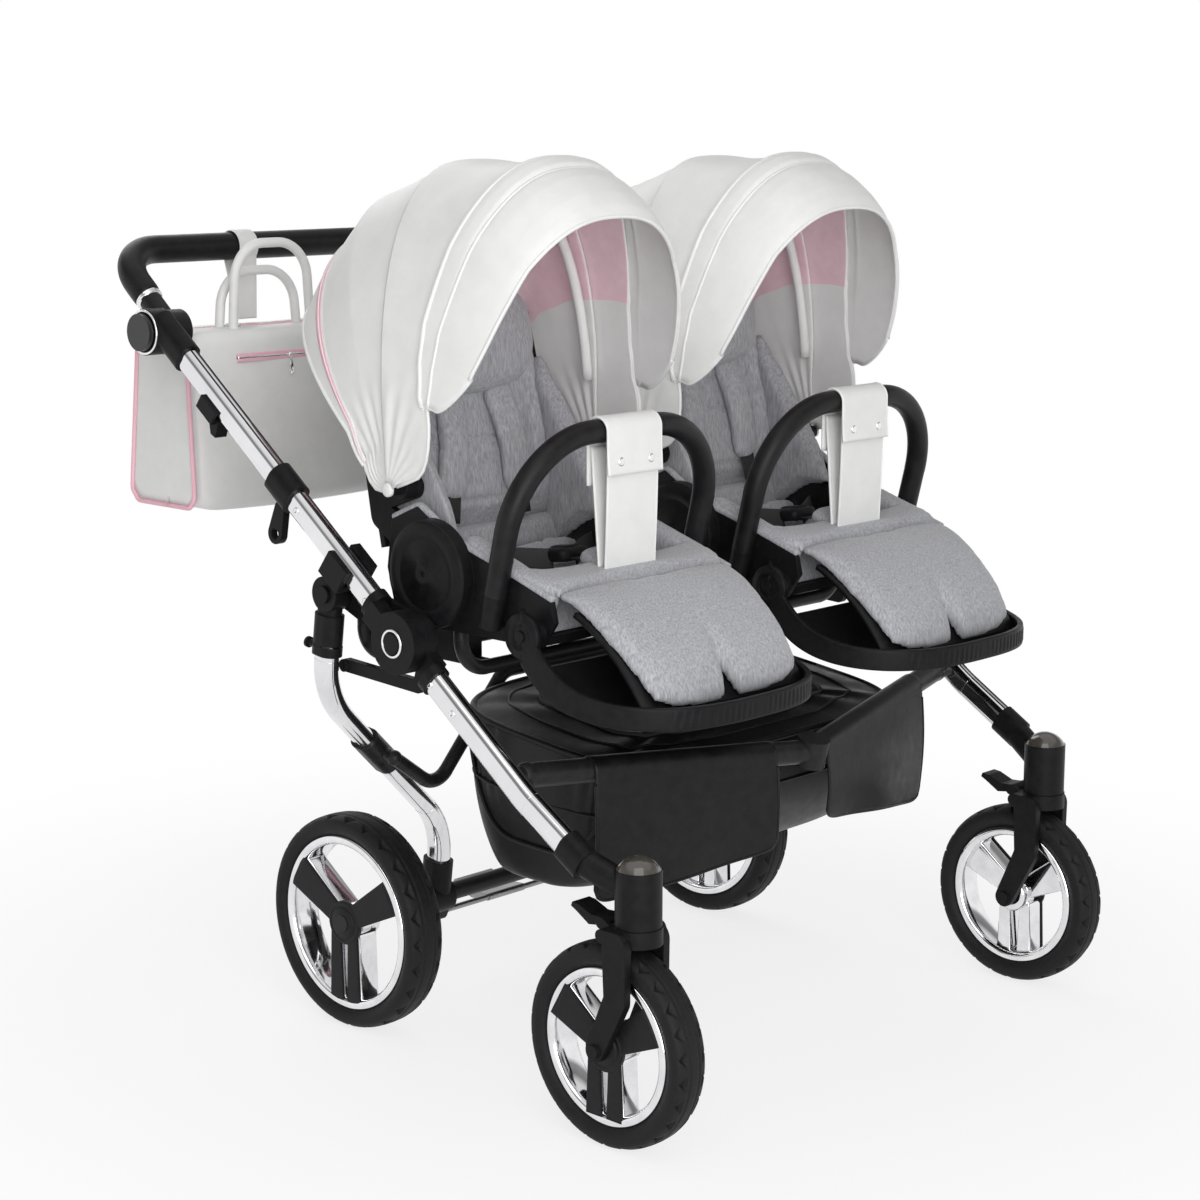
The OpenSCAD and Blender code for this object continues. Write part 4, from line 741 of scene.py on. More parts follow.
# Seat cushions: jersey over thick wadding with two sewn channels, laid in the tub and rising at the
# rear to meet the back's flap.
v, u = grid(span(41, -1.0), span(41, -1.0))
pad_x = seat_x + u * (133.0 * (1.0 - 0.02 * (1.0 - v ** 2)) + 4.0 * within(v) ** 6)
pad_y = -144.0 + v * 112.0 * (1.0 - 0.03 * (1.0 - u ** 2))
seat_top = joined(pad_x, pad_y, 582.0 + 30.0 * crown(u, v) + 46.0 * within(v) ** 4)
seat_low = joined(seat_x + (pad_x - seat_x) * 0.985, pad_y, 566.5)
pad("seat_cushion", pillow(seat_top, seat_low), "chassis", 6.0,
    lambda p: within((p[:, 2] - 570.0) / 8.0),
    lambda p: 4.0 * (p[:, 2] > 580.0) * bell(off_middle(p) - 60.0, 4.0), replaced=["seat_pads"])

# Harness: black polyester webbing through the cushions with moulded buckles. The lap belts are anchored
# in the tub, the shoulder belts hang from the back behind their pads.
belt = finish("black_webbing", (0.010, 0.010, 0.011), (0.022, 0.022, 0.024), (0.62, 0.78), 700.0,
              stretch=(1.0, 1.0, 0.35), bump=0.4, bump_scale=1300.0, depth=0.0004)


def strap(path, width, thick, plane=(1.0, 0.0, 0.0), paint=0, power=5.0):
    """Flat strap: a thin rounded section carried along a path, its width along the plane's normal."""
    return closed(carried(path, oval(20, power, width / 2.0, thick / 2.0), plane), paint)


for side, hand in hands:
    parts = []
    for k in (-1.0, 1.0):
        lap = bent_path([(side * seat_x + k * 118, -86, 628), (side * seat_x + k * 60, -128, 634),
                         (side * seat_x + k * 20, -150, 630)], 60.0, 26)
        parts.append(strap(lap, 25.0, 2.2, (0.0, 0.25, 0.97)))
    crotch = bent_path([(side * seat_x, -236, 612), (side * seat_x, -200, 634), (side * seat_x, -168, 632)],
                       40.0, 18)
    parts.append(strap(crotch, 25.0, 2.2))
    body = span(15, -1.0)
    shape = np.sqrt(np.clip(1.0 - body ** 6, 0.03, 1.0))[:, None, None]
    block = joined(side * seat_x, -152.0 + 24.0 * body, 634.0 - 3.0 * body)
    parts.append(closed(carried(block, shape * oval(28, 4.0, 25.0, 9.0)[None]), 1))
    release = block[3:12] + np.array([0.0, 0.0, 7.0])
    parts.append(closed(carried(release, oval(24, 3.0, 12.0, 4.0)), 1))
    replaced = ("harnesses",) if side > 0 else ()
    forge(f"lap_belts_{hand}", parts, [belt, nylon], "chassis", "webbing", *replaced)

    parts = []
    for x_top, x_low in ((-40.0, -60.0), (40.0, 64.0)):
        line = span(24)
        tail = on_back(x_top + (x_low - x_top) * line, 196.0 - 180.0 * line,
                       35.0 + 8.0 * np.sin(np.pi * line))
        tail[:, 0] *= side
        parts.append(closed(carried(tail, oval(20, 5.0, 1.1, 12.5), (0.0, *off_back))))
    forge(f"shoulder_belts_{hand}", parts, [belt], f"back_{hand}", "webbing")

# Leg covers: the same jersey over thin wadding. Each hangs from the seam of the apron to the tray, where
# it is cut into two rounded lobes with a slit between; its line curves down between the seat and the
# footrest.
foot_pivot = seat_at + np.array([-147.0, 17.0])


def cover_mid(v):
    """Line under the leg cover from the side: forward as a sine plus the run, down as a power of it."""
    t = (v + 1.0) / 2.0
    return joined(foot_pivot[0] - 14.0 - 52.0 * np.sin(t * np.pi / 2.0) - 90.0 * t,
                  foot_pivot[1] + 36.0 - 117.0 * np.clip(t, 0.0, 2.0) ** 1.45)


def cover_place(x, v, h):
    """Place on the leg cover: x across, v along its line and h out from it."""
    along = unit(cover_mid(v + 0.01) - cover_mid(v - 0.01))
    mid = cover_mid(v)
    return joined(seat_x + x, mid[..., 0] + h * along[..., 1], mid[..., 1] - h * along[..., 0])


u = signed(span(89, -1.0), 1.3)[None]
t = span(49)[:, None]
reach = 1.0 - 0.42 * within(1.0 - np.abs(u) / 0.15) - 0.22 * np.abs(u) ** 5
v = -1.0 + (1.0 + reach) * t
wide = 144.0 * (1.0 - 0.15 * ((v + 1.0) / 2.0) ** 3)
slit = within((v - 0.1) / 0.5) * bell(u, 0.06)
cover_top = cover_place(u * wide, v, 7.0 + 14.0 * crown(u, 2.0 * t - 1.0) * (1.0 - 0.5 * slit))
cover_low = cover_place(u * wide * 0.99, v, 0.8)
cover = forge("leg_cover_soft_left", pillow(cover_top, cover_low), [liner], None, "cover_jersey",
              "leg_cover_left")
puffed(cover, 5.0)
twin = mirrored(cover, "leg_cover_soft_right", None, "cover_jersey", "leg_cover_right")
for piece, hand, side in ((cover, "left", 1), (twin, "right", -1)):
    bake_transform(piece)

# Recline hub covers: stepped black nylon discs clipped over the recline joints, one on each side of
# each seat, turned as one section about the joint's axis.
hub_at = seat_at + np.array([24.0, 67.0])
hub_cover = np.array([[0.2, 6.5], [10.0, 6.3], [13.0, 5.4], [14.0, 3.6], [40.0, 3.0], [42.0, 1.6],
                      [44.0, 1.6], [46.0, 3.8], [54.0, 3.2], [61.0, 1.6], [64.5, -1.0], [65.6, -4.0],
                      [65.6, -12.0], [0.2, -12.0]])
cover_parts = []
for side in (1, -1):
    for k in (-1.0, 1.0):
        hub = turned(hub_cover * [1.0, k] + [0.0, k * 174.4], (0.0, *hub_at), 1.0, 96)
        cover_parts.append(hoop(hub + [side * seat_x, 0.0, 0.0]))
forge("recline_hub_covers", cover_parts, [nylon], "chassis", "black_plastic")

# Seat aprons: padded jersey lips sewn to the liners, each folded over the front edge of its tub and
# carrying the seam that the leg cover hangs from.
v, u = grid(span(25), span(61, -1.0))
hump = np.sqrt(within(1.0 - (2.0 * v - 1.0) ** 4))
apron_y = -206.0 - 76.0 * v
apron_z = 619.0 - 7.0 * v ** 3 + 13.0 * np.abs(u) ** 5 * (1.0 - v)
apron_x = seat_x + (149.0 - 3.0 * v) * u
pad("seat_apron", pillow(joined(apron_x, apron_y, apron_z + 3.0 + 11.0 * hump),
                         joined(apron_x, apron_y, apron_z + 0.5)), "chassis", 4.0,
    slot="cover_jersey")

# Footrests: each a moulded black tray whose raised edge sweeps from one pivot arm round the front to the
# other, with fine slanting ribs in front and a curved board up to the seat under the cover.
tray_wide = 181.0
tray_long = 202.0
tray_power = 0.72
edge_turn = np.linspace(0.0, np.pi, 401)
edge_x = tray_wide * signed(np.cos(edge_turn), tray_power)
edge_run = tray_long * np.sin(edge_turn) ** tray_power


def tray_fall(run):
    """Height of the tray edge's middle line: it drops from the pivot as a decaying curve and levels out."""
    return 491.0 + 82.0 * np.exp(-run / 46.0) + 2.0 * (run / tray_long) ** 6


edge_line = joined(edge_x, foot_pivot[0] - edge_run, tray_fall(edge_run))
edge_way = unit(np.gradient(edge_line[:, :2], axis=0))
edge_out = joined(-edge_way[:, 1], edge_way[:, 0], 0.0)
edge_out = edge_out * np.sign(np.sum(edge_out[:, :2] * (edge_line[:, :2] - [0.0, -330.0]), -1))[:, None]
half_h = 13.0 + 20.0 * np.exp(-edge_run / 40.0)
rib = (edge_x[:, None] + 14.0 * oval(40, 7.0)[None, :, 1]) / 9.0
ribbed = np.clip(np.cos(2.0 * np.pi * rib) * 3.0, -1.0, 1.0) * (np.abs(edge_x) < 120.0)[:, None]
shape = oval(40, 7.0)
ribbed = ribbed * (shape[:, 0] > 0.9) * (np.abs(shape[:, 1]) < 0.7)
spread = 4.2 * shape[None, :, 0] + 0.5 * ribbed
band = edge_line[:, None] + spread[..., None] * edge_out[:, None]
band[..., 2] += half_h[:, None] * shape[None, :, 1]
floor_run = 10.0 + 190.0 * span(44)[:, None] ** 1.4
tray_half = tray_wide * (1.0 - (floor_run / tray_long) ** (2.0 / tray_power)) ** (tray_power / 2.0)
floor_x = tray_half * span(41, -1.0)[None]
floor_z = tray_fall(floor_run) - 13.0 - 20.0 * np.exp(-floor_run / 40.0) + 5.0
floor_y = foot_pivot[0] - floor_run
board_v = span(40, -0.68)[:, None]
board_x = 138.0 * span(15, -1.0)[None]
pin_disc = np.array([[0.2, 4.0], [11.0, 4.0], [12.0, 3.0], [15.0, 3.0], [16.0, 5.2], [19.0, 5.2],
                     [20.0, 4.2], [26.0, 4.0], [27.0, 2.5], [27.0, -4.5], [0.2, -4.5]])
for side, hand in hands:
    shift = np.array([side * seat_x, 0.0, 0.0])
    tray_parts = [closed(band + shift)]
    tray_parts += pillow(joined(floor_x, floor_y, floor_z) + shift,
                         joined(floor_x, floor_y, floor_z - 4.0) + shift)
    board_top = cover_place(board_x, board_v, -0.8)
    board_low = cover_place(board_x, board_v, -7.0)
    tray_parts += pillow(board_top - [seat_x, 0.0, 0.0] + shift, board_low - [seat_x, 0.0, 0.0] + shift)
    for k in (-1.0, 1.0):
        disc = turned(pin_disc * [1.0, k] + [0.0, k * tray_wide], (0.0, *foot_pivot), 1.0, 48)
        tray_parts.append(hoop(disc + shift))
    forge(f"footrest_tray_{hand}", tray_parts, [nylon], f"foot_{hand}", "black_plastic", f"footrest_{hand}")

# Hoods: white leatherette sewn over wire bows, lined with pink satin. A zip runs near the rear hem, a
# piped double seam carries the stiff visor, and the cloth is gathered on the pivot discs.
white_hide = finish("white_leatherette", (0.80, 0.80, 0.79), (0.85, 0.85, 0.84), (0.42, 0.54), 30.0,
                    bump=0.16, bump_scale=700.0, depth=0.0003, cells=True)
satin = finish("pink_satin", (0.86, 0.58, 0.65), (0.92, 0.67, 0.73), (0.30, 0.42), 40.0, bump=0.2,
               bump_scale=160.0, depth=0.001, Sheen_Weight=0.4)
zip_pink = finish("pink_zip_tape", (0.88, 0.47, 0.56), (0.95, 0.58, 0.66), (0.45, 0.6), 900.0,
                  bump=0.5, bump_scale=1500.0, depth=0.0005)
hood_pivot = np.array([-36.0, 720.0])
arch_power = 0.8
cloth_thick = 3.2
rear_half = 179.0
front_half = 184.0
visor_half = 187.0


def hood_cloth(angle, arch, half_w, radius):
    """Cloth of a hood: an arch, a superellipse of power 2.5 that is half_w wide and radius deep, turned
    to each angle about the pivot and kept off the pivot itself."""
    away = np.maximum(radius * np.sin(arch) ** arch_power, 9.0)
    x = half_w * signed(np.cos(arch), arch_power)
    lean = np.radians(angle)
    return joined(seat_x + x, hood_pivot[0] + away * np.cos(lean), hood_pivot[1] + away * np.sin(lean))


def sheet(outer, inner, paint_out=0, paint_in=1):
    """Closed thin sheet: each row runs out on the outer face and back on the inner one, and the first
    and last rows are closed between the two."""
    rows, columns = outer.shape[:2]
    paint = np.zeros((rows - 1, 2 * columns), int)
    paint[:, :columns] = paint_out
    paint[:, columns:2 * columns - 1] = paint_in
    return [patch(np.concatenate([outer, inner[:, ::-1]], 1), around=True, paint=paint),
            patch(np.stack([outer[0], inner[0]])), patch(np.stack([outer[-1], inner[-1]]))]


def rod(path, radius, plane, paint=0, count=12):
    """Round tube of one radius along a path that lies in a plane."""
    return closed(carried(path, radius * oval(count), plane), paint)


def bead(path, radius, paint=0, count=10, centre=None):
    """Round piping along a path, its circle squared to the path and to the line from a centre, which is
    the hood's pivot if none is given."""
    tangent = unit(np.gradient(path, axis=0))
    outward = path - (np.array([seat_x, *hood_pivot]) if centre is None else np.asarray(centre, float))
    outward = unit(outward - np.sum(outward * tangent, -1, keepdims=True) * tangent)
    third = np.cross(tangent, outward)
    circle = radius * oval(count)
    return closed(path[:, None] + circle[None, :, :1] * outward[:, None]
                  + circle[None, :, 1:] * third[:, None], paint)


def hood_pair(end, parts, finishes, body):
    """One end of both hoods: forged on the left, mirrored to the right, each told with its side."""
    left = forge(f"hood_{end}_left", parts, finishes, f"{body}_left", "white_leather",
                 f"canopy_{end}_left")
    right = mirrored(left, f"hood_{end}_right", f"{body}_right", "white_leather", f"canopy_{end}_right")
    return (left, "left"), (right, "right")


def hem_angle(arch):
    """Angle of the rear hem along the arch: it runs forward near the pivots, where the cloth is gathered."""
    away = 384.0 * np.sin(arch) ** arch_power
    return np.interp(away, (9.0, 30.0, 60.0, 110.0), (-25.0, -10.0, 26.0, 38.0))


def rear_radius(angle):
    """Rear cloth: lowest at the hem, rising to the seam, with soft ridges over the two bows."""
    t = within((angle - 38.0) / 48.0)
    ridges = 4.0 * bell(angle - 66.0, 2.2) - 4.0 * bell(angle - 75.0, 5.0) - 3.0 * bell(angle - 56.0, 5.0)
    return 346.0 + 37.0 * np.sin(t * np.pi / 2.0) ** 1.2 + ridges


arch = np.linspace(0.0, np.pi, 141)[None]
lining = np.where(np.sin(arch[:, :-1] + 0.011) > 0.47, 1, 0)[:, ::-1]
edge_arch = np.minimum(arch, np.pi - arch)
row = span(72)[:, None]
angle = hem_angle(arch) + (92.0 - hem_angle(arch)) * row
gather = 2.6 * bell(edge_arch - 0.14, 0.10) * np.sin(np.radians(angle) * 17.0) ** 2
rear_outer = hood_cloth(angle, arch, rear_half - gather, rear_radius(angle))
rear_inner = hood_cloth(angle, arch, rear_half - cloth_thick - gather, rear_radius(angle) - cloth_thick)
rear_parts = sheet(rear_outer, rear_inner, 0, lining)
open_arch = np.linspace(0.10, np.pi - 0.10, 120)
back_line = hem_angle(open_arch)
zip_line = back_line + 6.0 + 10.0 * np.sin(open_arch) ** 2
zip_wide = 1.1 + 0.9 * np.sin(open_arch)
for low, high, proud in ((-1.0, 1.0, 0.9), (-0.22, 0.22, 2.2)):
    tape = zip_line + np.linspace(low, high, 5)[:, None] * zip_wide
    rear_parts += sheet(hood_cloth(tape, open_arch[None], rear_half + proud, rear_radius(tape) + proud),
                        hood_cloth(tape, open_arch[None], rear_half - 1.0, rear_radius(tape) - 1.0), 2, 2)
for at, size in ((back_line + 0.2, 2.6), (zip_line - 1.3 * zip_wide, 1.2), (zip_line + 1.3 * zip_wide, 1.2)):
    rear_parts.append(bead(hood_cloth(at, open_arch, rear_half - 0.6, rear_radius(at) - 0.6), size))
bow = np.linspace(0.22, np.pi - 0.22, 70)
rear_parts.append(bead(hood_cloth(np.array(89.0), bow, 166.0, 360.0), 6.5))
for piece, hand in hood_pair("rear", rear_parts, [white_hide, satin, zip_pink], "back"):
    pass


def seam_angle(away):
    """Angle of the piped seam at a distance from the pivot: nearly upright, and low in front at the side."""
    return np.interp(away, (9.0, 61.0, 95.0, 128.0, 165.0, 208.0, 300.0, 407.0),
                     (163.0, 160.0, 136.0, 116.0, 108.5, 105.0, 103.8, 105.0))


def brim_angle(away):
    """Angle of the visor's edge at a distance from the pivot."""
    return np.interp(away, (128.0, 165.0, 200.0, 260.0, 320.0, 384.0, 410.0),
                     (143.0, 138.5, 133.2, 128.5, 124.4, 122.4, 121.8))


def visor_face(w, arch, half_w, lift):
    """Visor: w runs from the piped seam to the brim; the arch is deepest just before the seam's front
    bead and drops towards the brim, like a peaked cap."""
    radius = np.interp(w, (0.0, 0.04, 0.12, 0.24, 0.29, 0.34, 0.5, 0.75, 0.9, 1.0),
                       (401.0, 406.0, 408.0, 406.0, 400.5, 403.0, 402.0, 396.0, 390.0, 383.0)) + lift
    away = radius * np.sin(arch) ** arch_power
    angle = seam_angle(away) + (brim_angle(away) - seam_angle(away)) * w
    return hood_cloth(angle, arch, half_w, radius)


away = 392.0 * np.sin(arch) ** arch_power
front_end = seam_angle(away) + 3.0 * within((away - 61.0) / 60.0)
row = span(48)[:, None]
angle = 84.0 + (front_end - 84.0) * row
front_radius = 389.0 - 5.0 * np.sin(np.pi * within(row / 0.8)) ** 2 + 10.0 * row ** 3
gather = 2.4 * bell(edge_arch - 0.16, 0.09) * np.sin(np.radians(angle) * 13.0) ** 2
front_parts = sheet(hood_cloth(angle, arch, front_half + gather, front_radius),
                    hood_cloth(angle, arch, 180.7, front_radius - 3.3), 0, lining)
for foot in (slice(1, 24), slice(-24, -1)):
    front_parts.append(bead(hood_cloth(front_end[0, foot], arch[0, foot], front_half, 399.0), 2.2))
w = span(56)[:, None]
foot_r = 118.0 + 24.0 * w + 62.0 * within((w - 0.5) / 0.5) ** 2.2
foot_arch = np.arcsin((foot_r / 400.0) ** (1.0 / arch_power))
visor_arch = foot_arch + (np.pi - 2.0 * foot_arch) * span(141)[None]
visor_out = visor_face(w, visor_arch, visor_half + 2.0 * w, 1.6)
visor_in = visor_face(w, visor_arch, visor_half - 4.6 + 2.0 * w, -2.6)
front_parts += sheet(visor_out, visor_in, 0, 0)
for place, size, lift in ((0.02, 3.2, 1.0), (0.29, 2.4, 1.2), (0.995, 2.6, -0.6)):
    low = float(np.interp(place, w[:, 0], foot_arch[:, 0]))
    seam_arch = np.linspace(low, np.pi - low, 130)
    line = visor_face(np.array(place), seam_arch, visor_half + 2.0 * place - 0.4, lift)
    front_parts.append(bead(line, size))
for column in (0, -1):
    front_parts.append(bead((visor_out[:, column] + visor_in[:, column]) / 2.0, 2.3))
for k in (-1.0, 1.0):
    dome = np.array([[0.3, 186.6], [5.0, 186.4], [7.5, 185.8], [8.5, 184.6], [8.5, 181.0]])
    cap = turned(np.column_stack([dome[:, 0], dome[:, 1] * k]), (0.0, *hood_pivot), 1.0, 28)
    cap[..., 0] += seat_x
    front_parts.append(patch(cap, looped=True))
for piece, hand in hood_pair("front", front_parts, [white_hide, satin], "hood"):
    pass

# Bumper bars: bent tubes in black leatherette with moulded feet; a white strap loops over each bar,
# closed by a flap with two snaps, and its doubled tail reaches the leg cover.
dress(black_hide, "bumper_bar_left", "bumper_bar_right")
bumper_top = np.array([-251.63, 796.43])
for side, hand in hands:
    x = side * seat_x
    reach = 16.4
    over = np.linspace(0.0, np.pi, 19)
    flap = np.vstack([joined(reach, np.linspace(-66.0, -5.0, 12)),
                      joined(reach * np.cos(over), reach * np.sin(over)),
                      joined(-reach - 2.0 * span(14) ** 2, np.linspace(-5.0, -52.0, 14))])
    flap = joined(x, *(flap + bumper_top).T)
    fold = np.linspace(0.0, np.pi, 11)
    tail = np.vstack([joined(span(24, 13.0), np.linspace(-20.0, -166.0, 24)),
                      joined(-4.0 + 5.0 * np.cos(fold), -166.0 - 5.0 * np.sin(fold)),
                      joined(-9.0 - 4.4 * np.sin(span(24) * np.pi / 2.0),
                             np.linspace(-166.0, -18.0, 24))])
    tail = joined(x, *(tail + bumper_top).T)
    parts = [strap(flap, 95.0, 3.2, power=8.0), strap(tail, 88.0, 2.8, power=8.0)]
    for k in (-1.0, 1.0):
        for line, half in ((flap, 45.5), (tail, 42.5)):
            stitch = line.copy()
            stitch[:, 0] += k * half
            parts.append(strap(stitch, 1.6, 4.2, power=2.0))
    for k in (-1.0, 1.0):
        snap_y = bumper_top[0] - 18.8 - np.array([0, 0.6, 1.6, 2.2, 2.5, 1.6])
        snap = joined(x + k * 26.0, snap_y, bumper_top[1] - 36.0)
        size = np.array([5.6, 5.6, 5.0, 3.8, 2.4, 0.6])[:, None, None]
        parts.append(closed(snap[:, None] + size * np.insert(oval(24), 1, 0.0, axis=1)[None], 1))
    piece = forge(f"bumper_strap_flap_{hand}", parts, [white_hide, bright], f"bumper_{hand}",
                  "white_leather", f"bumper_strap_{hand}")

# Basket: black leatherette sewn as a tub with gathered sides and two pockets, hung from the front bar
# and the rear hoop.
bar_end = np.array([-262.0, 408.0])
bar_mid = np.array([-365.0, 383.0])
bar_end_x = 396.0
bar_slope = (bar_end[0] - bar_mid[0]) / bar_end_x
basket_mid = np.array([0.0, -146.0, 330.0])
basket_half = np.array([285.0, 172.0])
basket_floor = 222.0
basket_high = 171.0


def basket_ring(h, inset, angle):
    """Plan of the basket at height share h: a squared oval, rounder behind, narrower at the front and kept
    behind the bent bar. The front wall slopes back to the floor, and the rim rises towards the rear."""
    c = np.cos(angle)
    s = np.sin(angle)
    power = np.where(s > 0.0, 0.55, 0.32)
    deep = np.where(s > 0.0, 0.72 + 0.28 * np.sqrt(h), 0.36 + 0.64 * np.sqrt(h))
    narrow = np.where(s > 0.0, 1.0, 1.0 - 0.1 * np.abs(s))
    wide = (basket_half[0] - inset) * (0.92 + 0.08 * np.sqrt(h)) * narrow
    x = wide * signed(c, power)
    y = basket_mid[1] + (basket_half[1] - inset) * deep * signed(s, power)
    limit = bar_mid[0] + bar_slope * np.abs(x) + 15.6 * math.sqrt(1.0 + bar_slope ** 2) + inset
    y = np.maximum(y, limit)
    z = basket_floor + inset + (basket_high - inset + (y + 320.0) * 0.12) * h
    return joined(x, y, z)


around = full_turn(420)[None]
h = np.concatenate([np.linspace(0.0, 0.08, 6), span(30, 0.12)])[:, None]
outer = basket_ring(h, 3.0 - 7.0 * np.sin(np.pi * h) ** 0.8, around)
away = unit((outer - basket_mid)[..., :2])
gathers = within((h - 0.45) / 0.55) ** 1.3
gathers = gathers * within((np.abs(outer[..., 0]) - 190.0) / 50.0)
sag = 1.6 * np.sin(around * 9.0 + 7.0 * h) * np.sin(np.pi * h)
ruffle = gathers * 2.4 * np.sin(around * 62.0 + 2.0 * np.sin(around * 7.0)) + sag
inner = basket_ring(h, 6.5 - 7.0 * np.sin(np.pi * h) ** 0.8, around)
outer[..., :2] += away * ruffle[..., None]
inner[..., :2] += away * ruffle[..., None]
basket_parts = [closed(np.concatenate([outer, inner[::-1]]))]
ring_turn = np.linspace(0.0, 2.0 * np.pi, 241)
for level, inset, size in ((1.0, 3.0, 4.2), (0.62, -4.6, 1.8)):
    basket_parts.append(bead(basket_ring(np.array(level), inset, ring_turn), size, centre=basket_mid))
for middle in (0.0, np.pi):
    swing = span(60, -1.0)
    pocket = basket_ring(0.30 + 0.55 * swing ** 2, -4.6, middle + 0.55 * swing)
    basket_parts.append(bead(pocket, 2.4, centre=basket_mid))
basket_tub = forge("basket_tub", basket_parts, [black_hide], None, "black_leather", "basket")
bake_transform(basket_tub)

# Basket lid: a flat cover of the same leatherette, laid in the rim of the tub and closed by a zip of
# black tape that runs round near its edge.
share = np.concatenate([np.linspace(0.02, 0.9, 30), span(8, 0.92)])[:, None]
rim = basket_ring(np.array(1.0), 5.0, around)
lid = basket_mid + share[..., None] * (rim - basket_mid)
creases = 2.4 * np.sin(around * 11.0 + 9.0 * share) * share ** 2 * (1.0 - share ** 8)
puff = 6.0 * (1.0 - share ** 6) + creases
lid[..., 2] = rim[..., 2] * share + (1.0 - share) * 418.0 + 1.5 + puff
under = lid - [0.0, 0.0, 2.6]
lid_parts = [closed(np.concatenate([lid, under[::-1]]))]
whole_turn = np.arange(421) % 420
far_below = basket_mid - [0.0, 0.0, 900.0]
for line, lift, size, paint in ((22, 0.8, 3.0, 1), (27, 0.4, 1.6, 0)):
    lid_parts.append(bead(lid[line, whole_turn] + [0.0, 0.0, lift], size, paint, centre=far_below))
basket_lid = forge("basket_lid", lid_parts, [black_hide, belt], None, "black_leather")
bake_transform(basket_lid)

# Front flaps: two pieces of the same leatherette, piped round the edge, wrapped over the front bar and
# hanging before the basket.
along_bar = unit(np.array([bar_end_x, bar_end[0] - bar_mid[0], bar_end[1] - bar_mid[1]]))
flap_parts = []
for k, near, far, short, long in ((-1.0, 64.0, 326.0, 112.0, 158.0), (1.0, 12.0, 322.0, 84.0, 154.0)):
    run = np.array([k * along_bar[0], along_bar[1], along_bar[2]])
    out = unit(np.cross(run, np.array([0.0, 0.0, 1.0]))) * k
    start = np.array([0.0, *bar_mid])
    q = span(70, -1.0)[:, None]
    s = (near + far) / 2.0 + (far - near) / 2.0 * q
    turn_over = np.linspace(-0.35 * np.pi, np.pi, 20)[None]
    fall = span(30)[None]
    corner = np.sqrt(within(1.0 - np.abs(q) ** 12))
    hang = 4.0 + (short + (long - short) * (q + 1.0) / 2.0) * fall * (0.88 + 0.12 * corner)
    swell = 17.0 + 4.0 * np.sin(np.pi * fall) + 2.2 * np.sin(5.0 * q + 1.0) * fall ** 2
    faces = []
    for wrap_r, inward in ((17.0, 0.0), (15.2, 2.4)):
        stand = np.concatenate([-wrap_r * np.cos(turn_over) + 0.0 * q, swell - inward + 0.0 * q], 1)
        lift = np.concatenate([wrap_r * np.sin(turn_over) + 0.0 * q, -hang], 1)
        lift = lift[..., None] * np.array([0.0, 0.0, 1.0])
        faces.append(start + s[..., None] * run + stand[..., None] * out + lift)
    front, rear = faces
    flap_parts += sheet(front, rear, 0, 0)
    hem = np.vstack([front[0, 22:], front[1:-1, -1], front[-1, :21:-1]]) - 1.2 * out
    flap_parts.append(bead(hem, 2.0, centre=start + 180.0 * run - 400.0 * out))
front_flaps = forge("front_flaps", flap_parts, [black_hide], "chassis", "black_leather", "basket_flaps")

# Bag: white leatherette changing bag with pink piping and zips, lined and softly stuffed, with two
# tube carry loops, hung by one strap from the push bar.
bag_right = -372.25
bag_wide = 370.0
bag_outline = np.array([[382.0, 656.0], [394.0, 642.0], [513.0, 642.0], [527.0, 658.0], [503.0, 870.0],
                        [493.0, 882.0], [402.0, 882.0], [392.0, 870.0]])
corner_path = bent_path(np.column_stack([np.zeros(11), np.vstack([bag_outline, bag_outline[:3]])]), 9.0, 260)
middle = np.array([453.0, 762.0])
bearing = np.unwrap(np.arctan2(corner_path[:, 2] - middle[1], corner_path[:, 1] - middle[0]))
wanted = bearing[20] + full_turn(160)
dy = np.interp(wanted, bearing, corner_path[:, 1]) - middle[0]
dz = np.interp(wanted, bearing, corner_path[:, 2]) - middle[1]
t = span(71, -1.0)
squeeze = within(1.0 - np.abs(t) ** 14) ** 0.25
end_share = np.concatenate([np.linspace(0.15, 0.95, 8), squeeze[2:-2], np.linspace(0.95, 0.15, 8)])[:, None]
dent = 0.006 * np.linspace(1.0, 0.0, 8)
end_x = np.concatenate([-1.0 - dent, t[2:-2], 1.0 + dent[::-1]])[:, None]
belly = 5.0 * np.cos(np.pi / 2.0 * np.clip(end_x, -1.0, 1.0))
wrinkle = 1.2 * np.sin(end_x * 7.0 + dz / 40.0) * within(np.abs(dy) / 60.0) * (belly / 5.0)
bag_y = middle[0] + end_share * dy + np.sign(dy) * (belly * within(np.abs(dy) / 60.0) * np.cos(dz / 110.0)
                                                    + wrinkle)
bag_z = middle[1] + end_share * dz - belly * 0.8 * (dz < -60.0) - belly * 0.6 * (dz > 90.0)
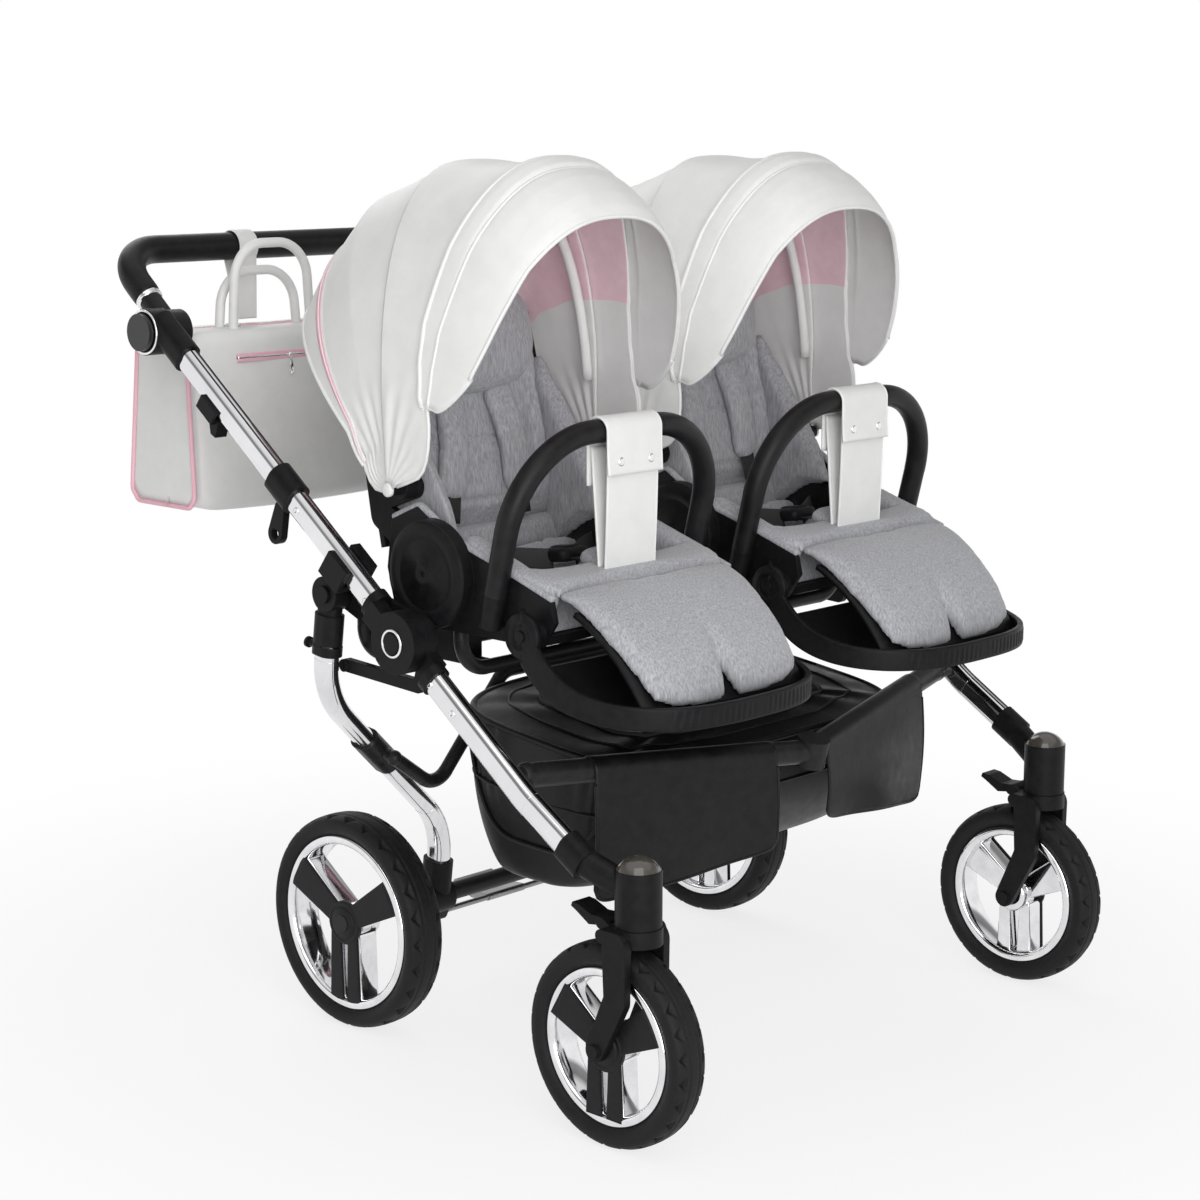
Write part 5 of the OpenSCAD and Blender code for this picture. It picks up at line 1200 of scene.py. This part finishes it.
bag_x = bag_right + bag_wide / 2.0 * (1.0 + end_x * 0.985) + 0.0 * dy
bag_skin = joined(bag_x, bag_y, bag_z)
bag_parts = [closed(bag_skin)]
wrapped = np.arange(161) % 160
for where in (7, len(end_x) - 8):
    bag_parts.append(bead(bag_skin[where, wrapped], 3.2, 1, centre=(bag_x[where, 0], *middle)))
bag_top = 881.65
for y, rise in ((415.3, 110.0), (445.3, 72.0)):
    loop = ((97.0, -8.0), (104.0, rise), (224.0, rise), (231.0, -8.0))
    carry = bent_path([(bag_right + x, y, bag_top + z) for x, z in loop], 50.0, 80)
    bag_parts.append(rod(carry, 6.5, (0.0, 1.0, 0.0), count=18))
for (x0, x1), y, z, plane in (((-348.0, -26.0), 452.0, 879.6, (0.0, 1.0, 0.0)),
                              ((-292.0, -176.0), 386.4, 843.0, (0.0, 0.05, 1.0))):
    zip_line = np.linspace((x0, y, z), (x1, y, z), 40)
    bag_parts.append(strap(zip_line, 11.0, 2.6, plane, paint=1))
    bag_parts.append(strap(zip_line, 3.0, 4.4, plane, paint=2))
for x, y, z in ((-205.0, 382.6, 842.0), (-260.0, 446.0, 880.0), (-246.0, 440.0, 880.0)):
    pull = np.array([[x, y, z + 4.0], [x, y - 1.0, z - 4.0], [x + 1.0, y - 1.5, z - 12.0],
                     [x + 2.0, y - 1.0, z - 26.0]])
    bag_parts.append(strap(pull, 5.0, 2.0, paint=2))
forge("changing_bag", bag_parts, [white_hide, zip_pink, bright], "bag", "white_leather", "bag")
hang_x = bag_right + bag_wide / 2.0
wind = np.linspace(-0.72 * np.pi, 0.72 * np.pi, 40)
loop = joined(hang_x, bar_at[0] + 21.2 * np.sin(wind), bar_at[1] + 21.2 * np.cos(wind))
down = np.array([[hang_x, 495.0, 884.0]])
hang_path = spaced(np.vstack([down, loop, down + np.array([[0.0, 3.0, 0.0]])]), 90)
bag_strap = forge("bag_hanging_strap", [strap(hang_path, 32.0, 2.4)], [white_hide], "bag",
                  "white_leather", "bag_straps")
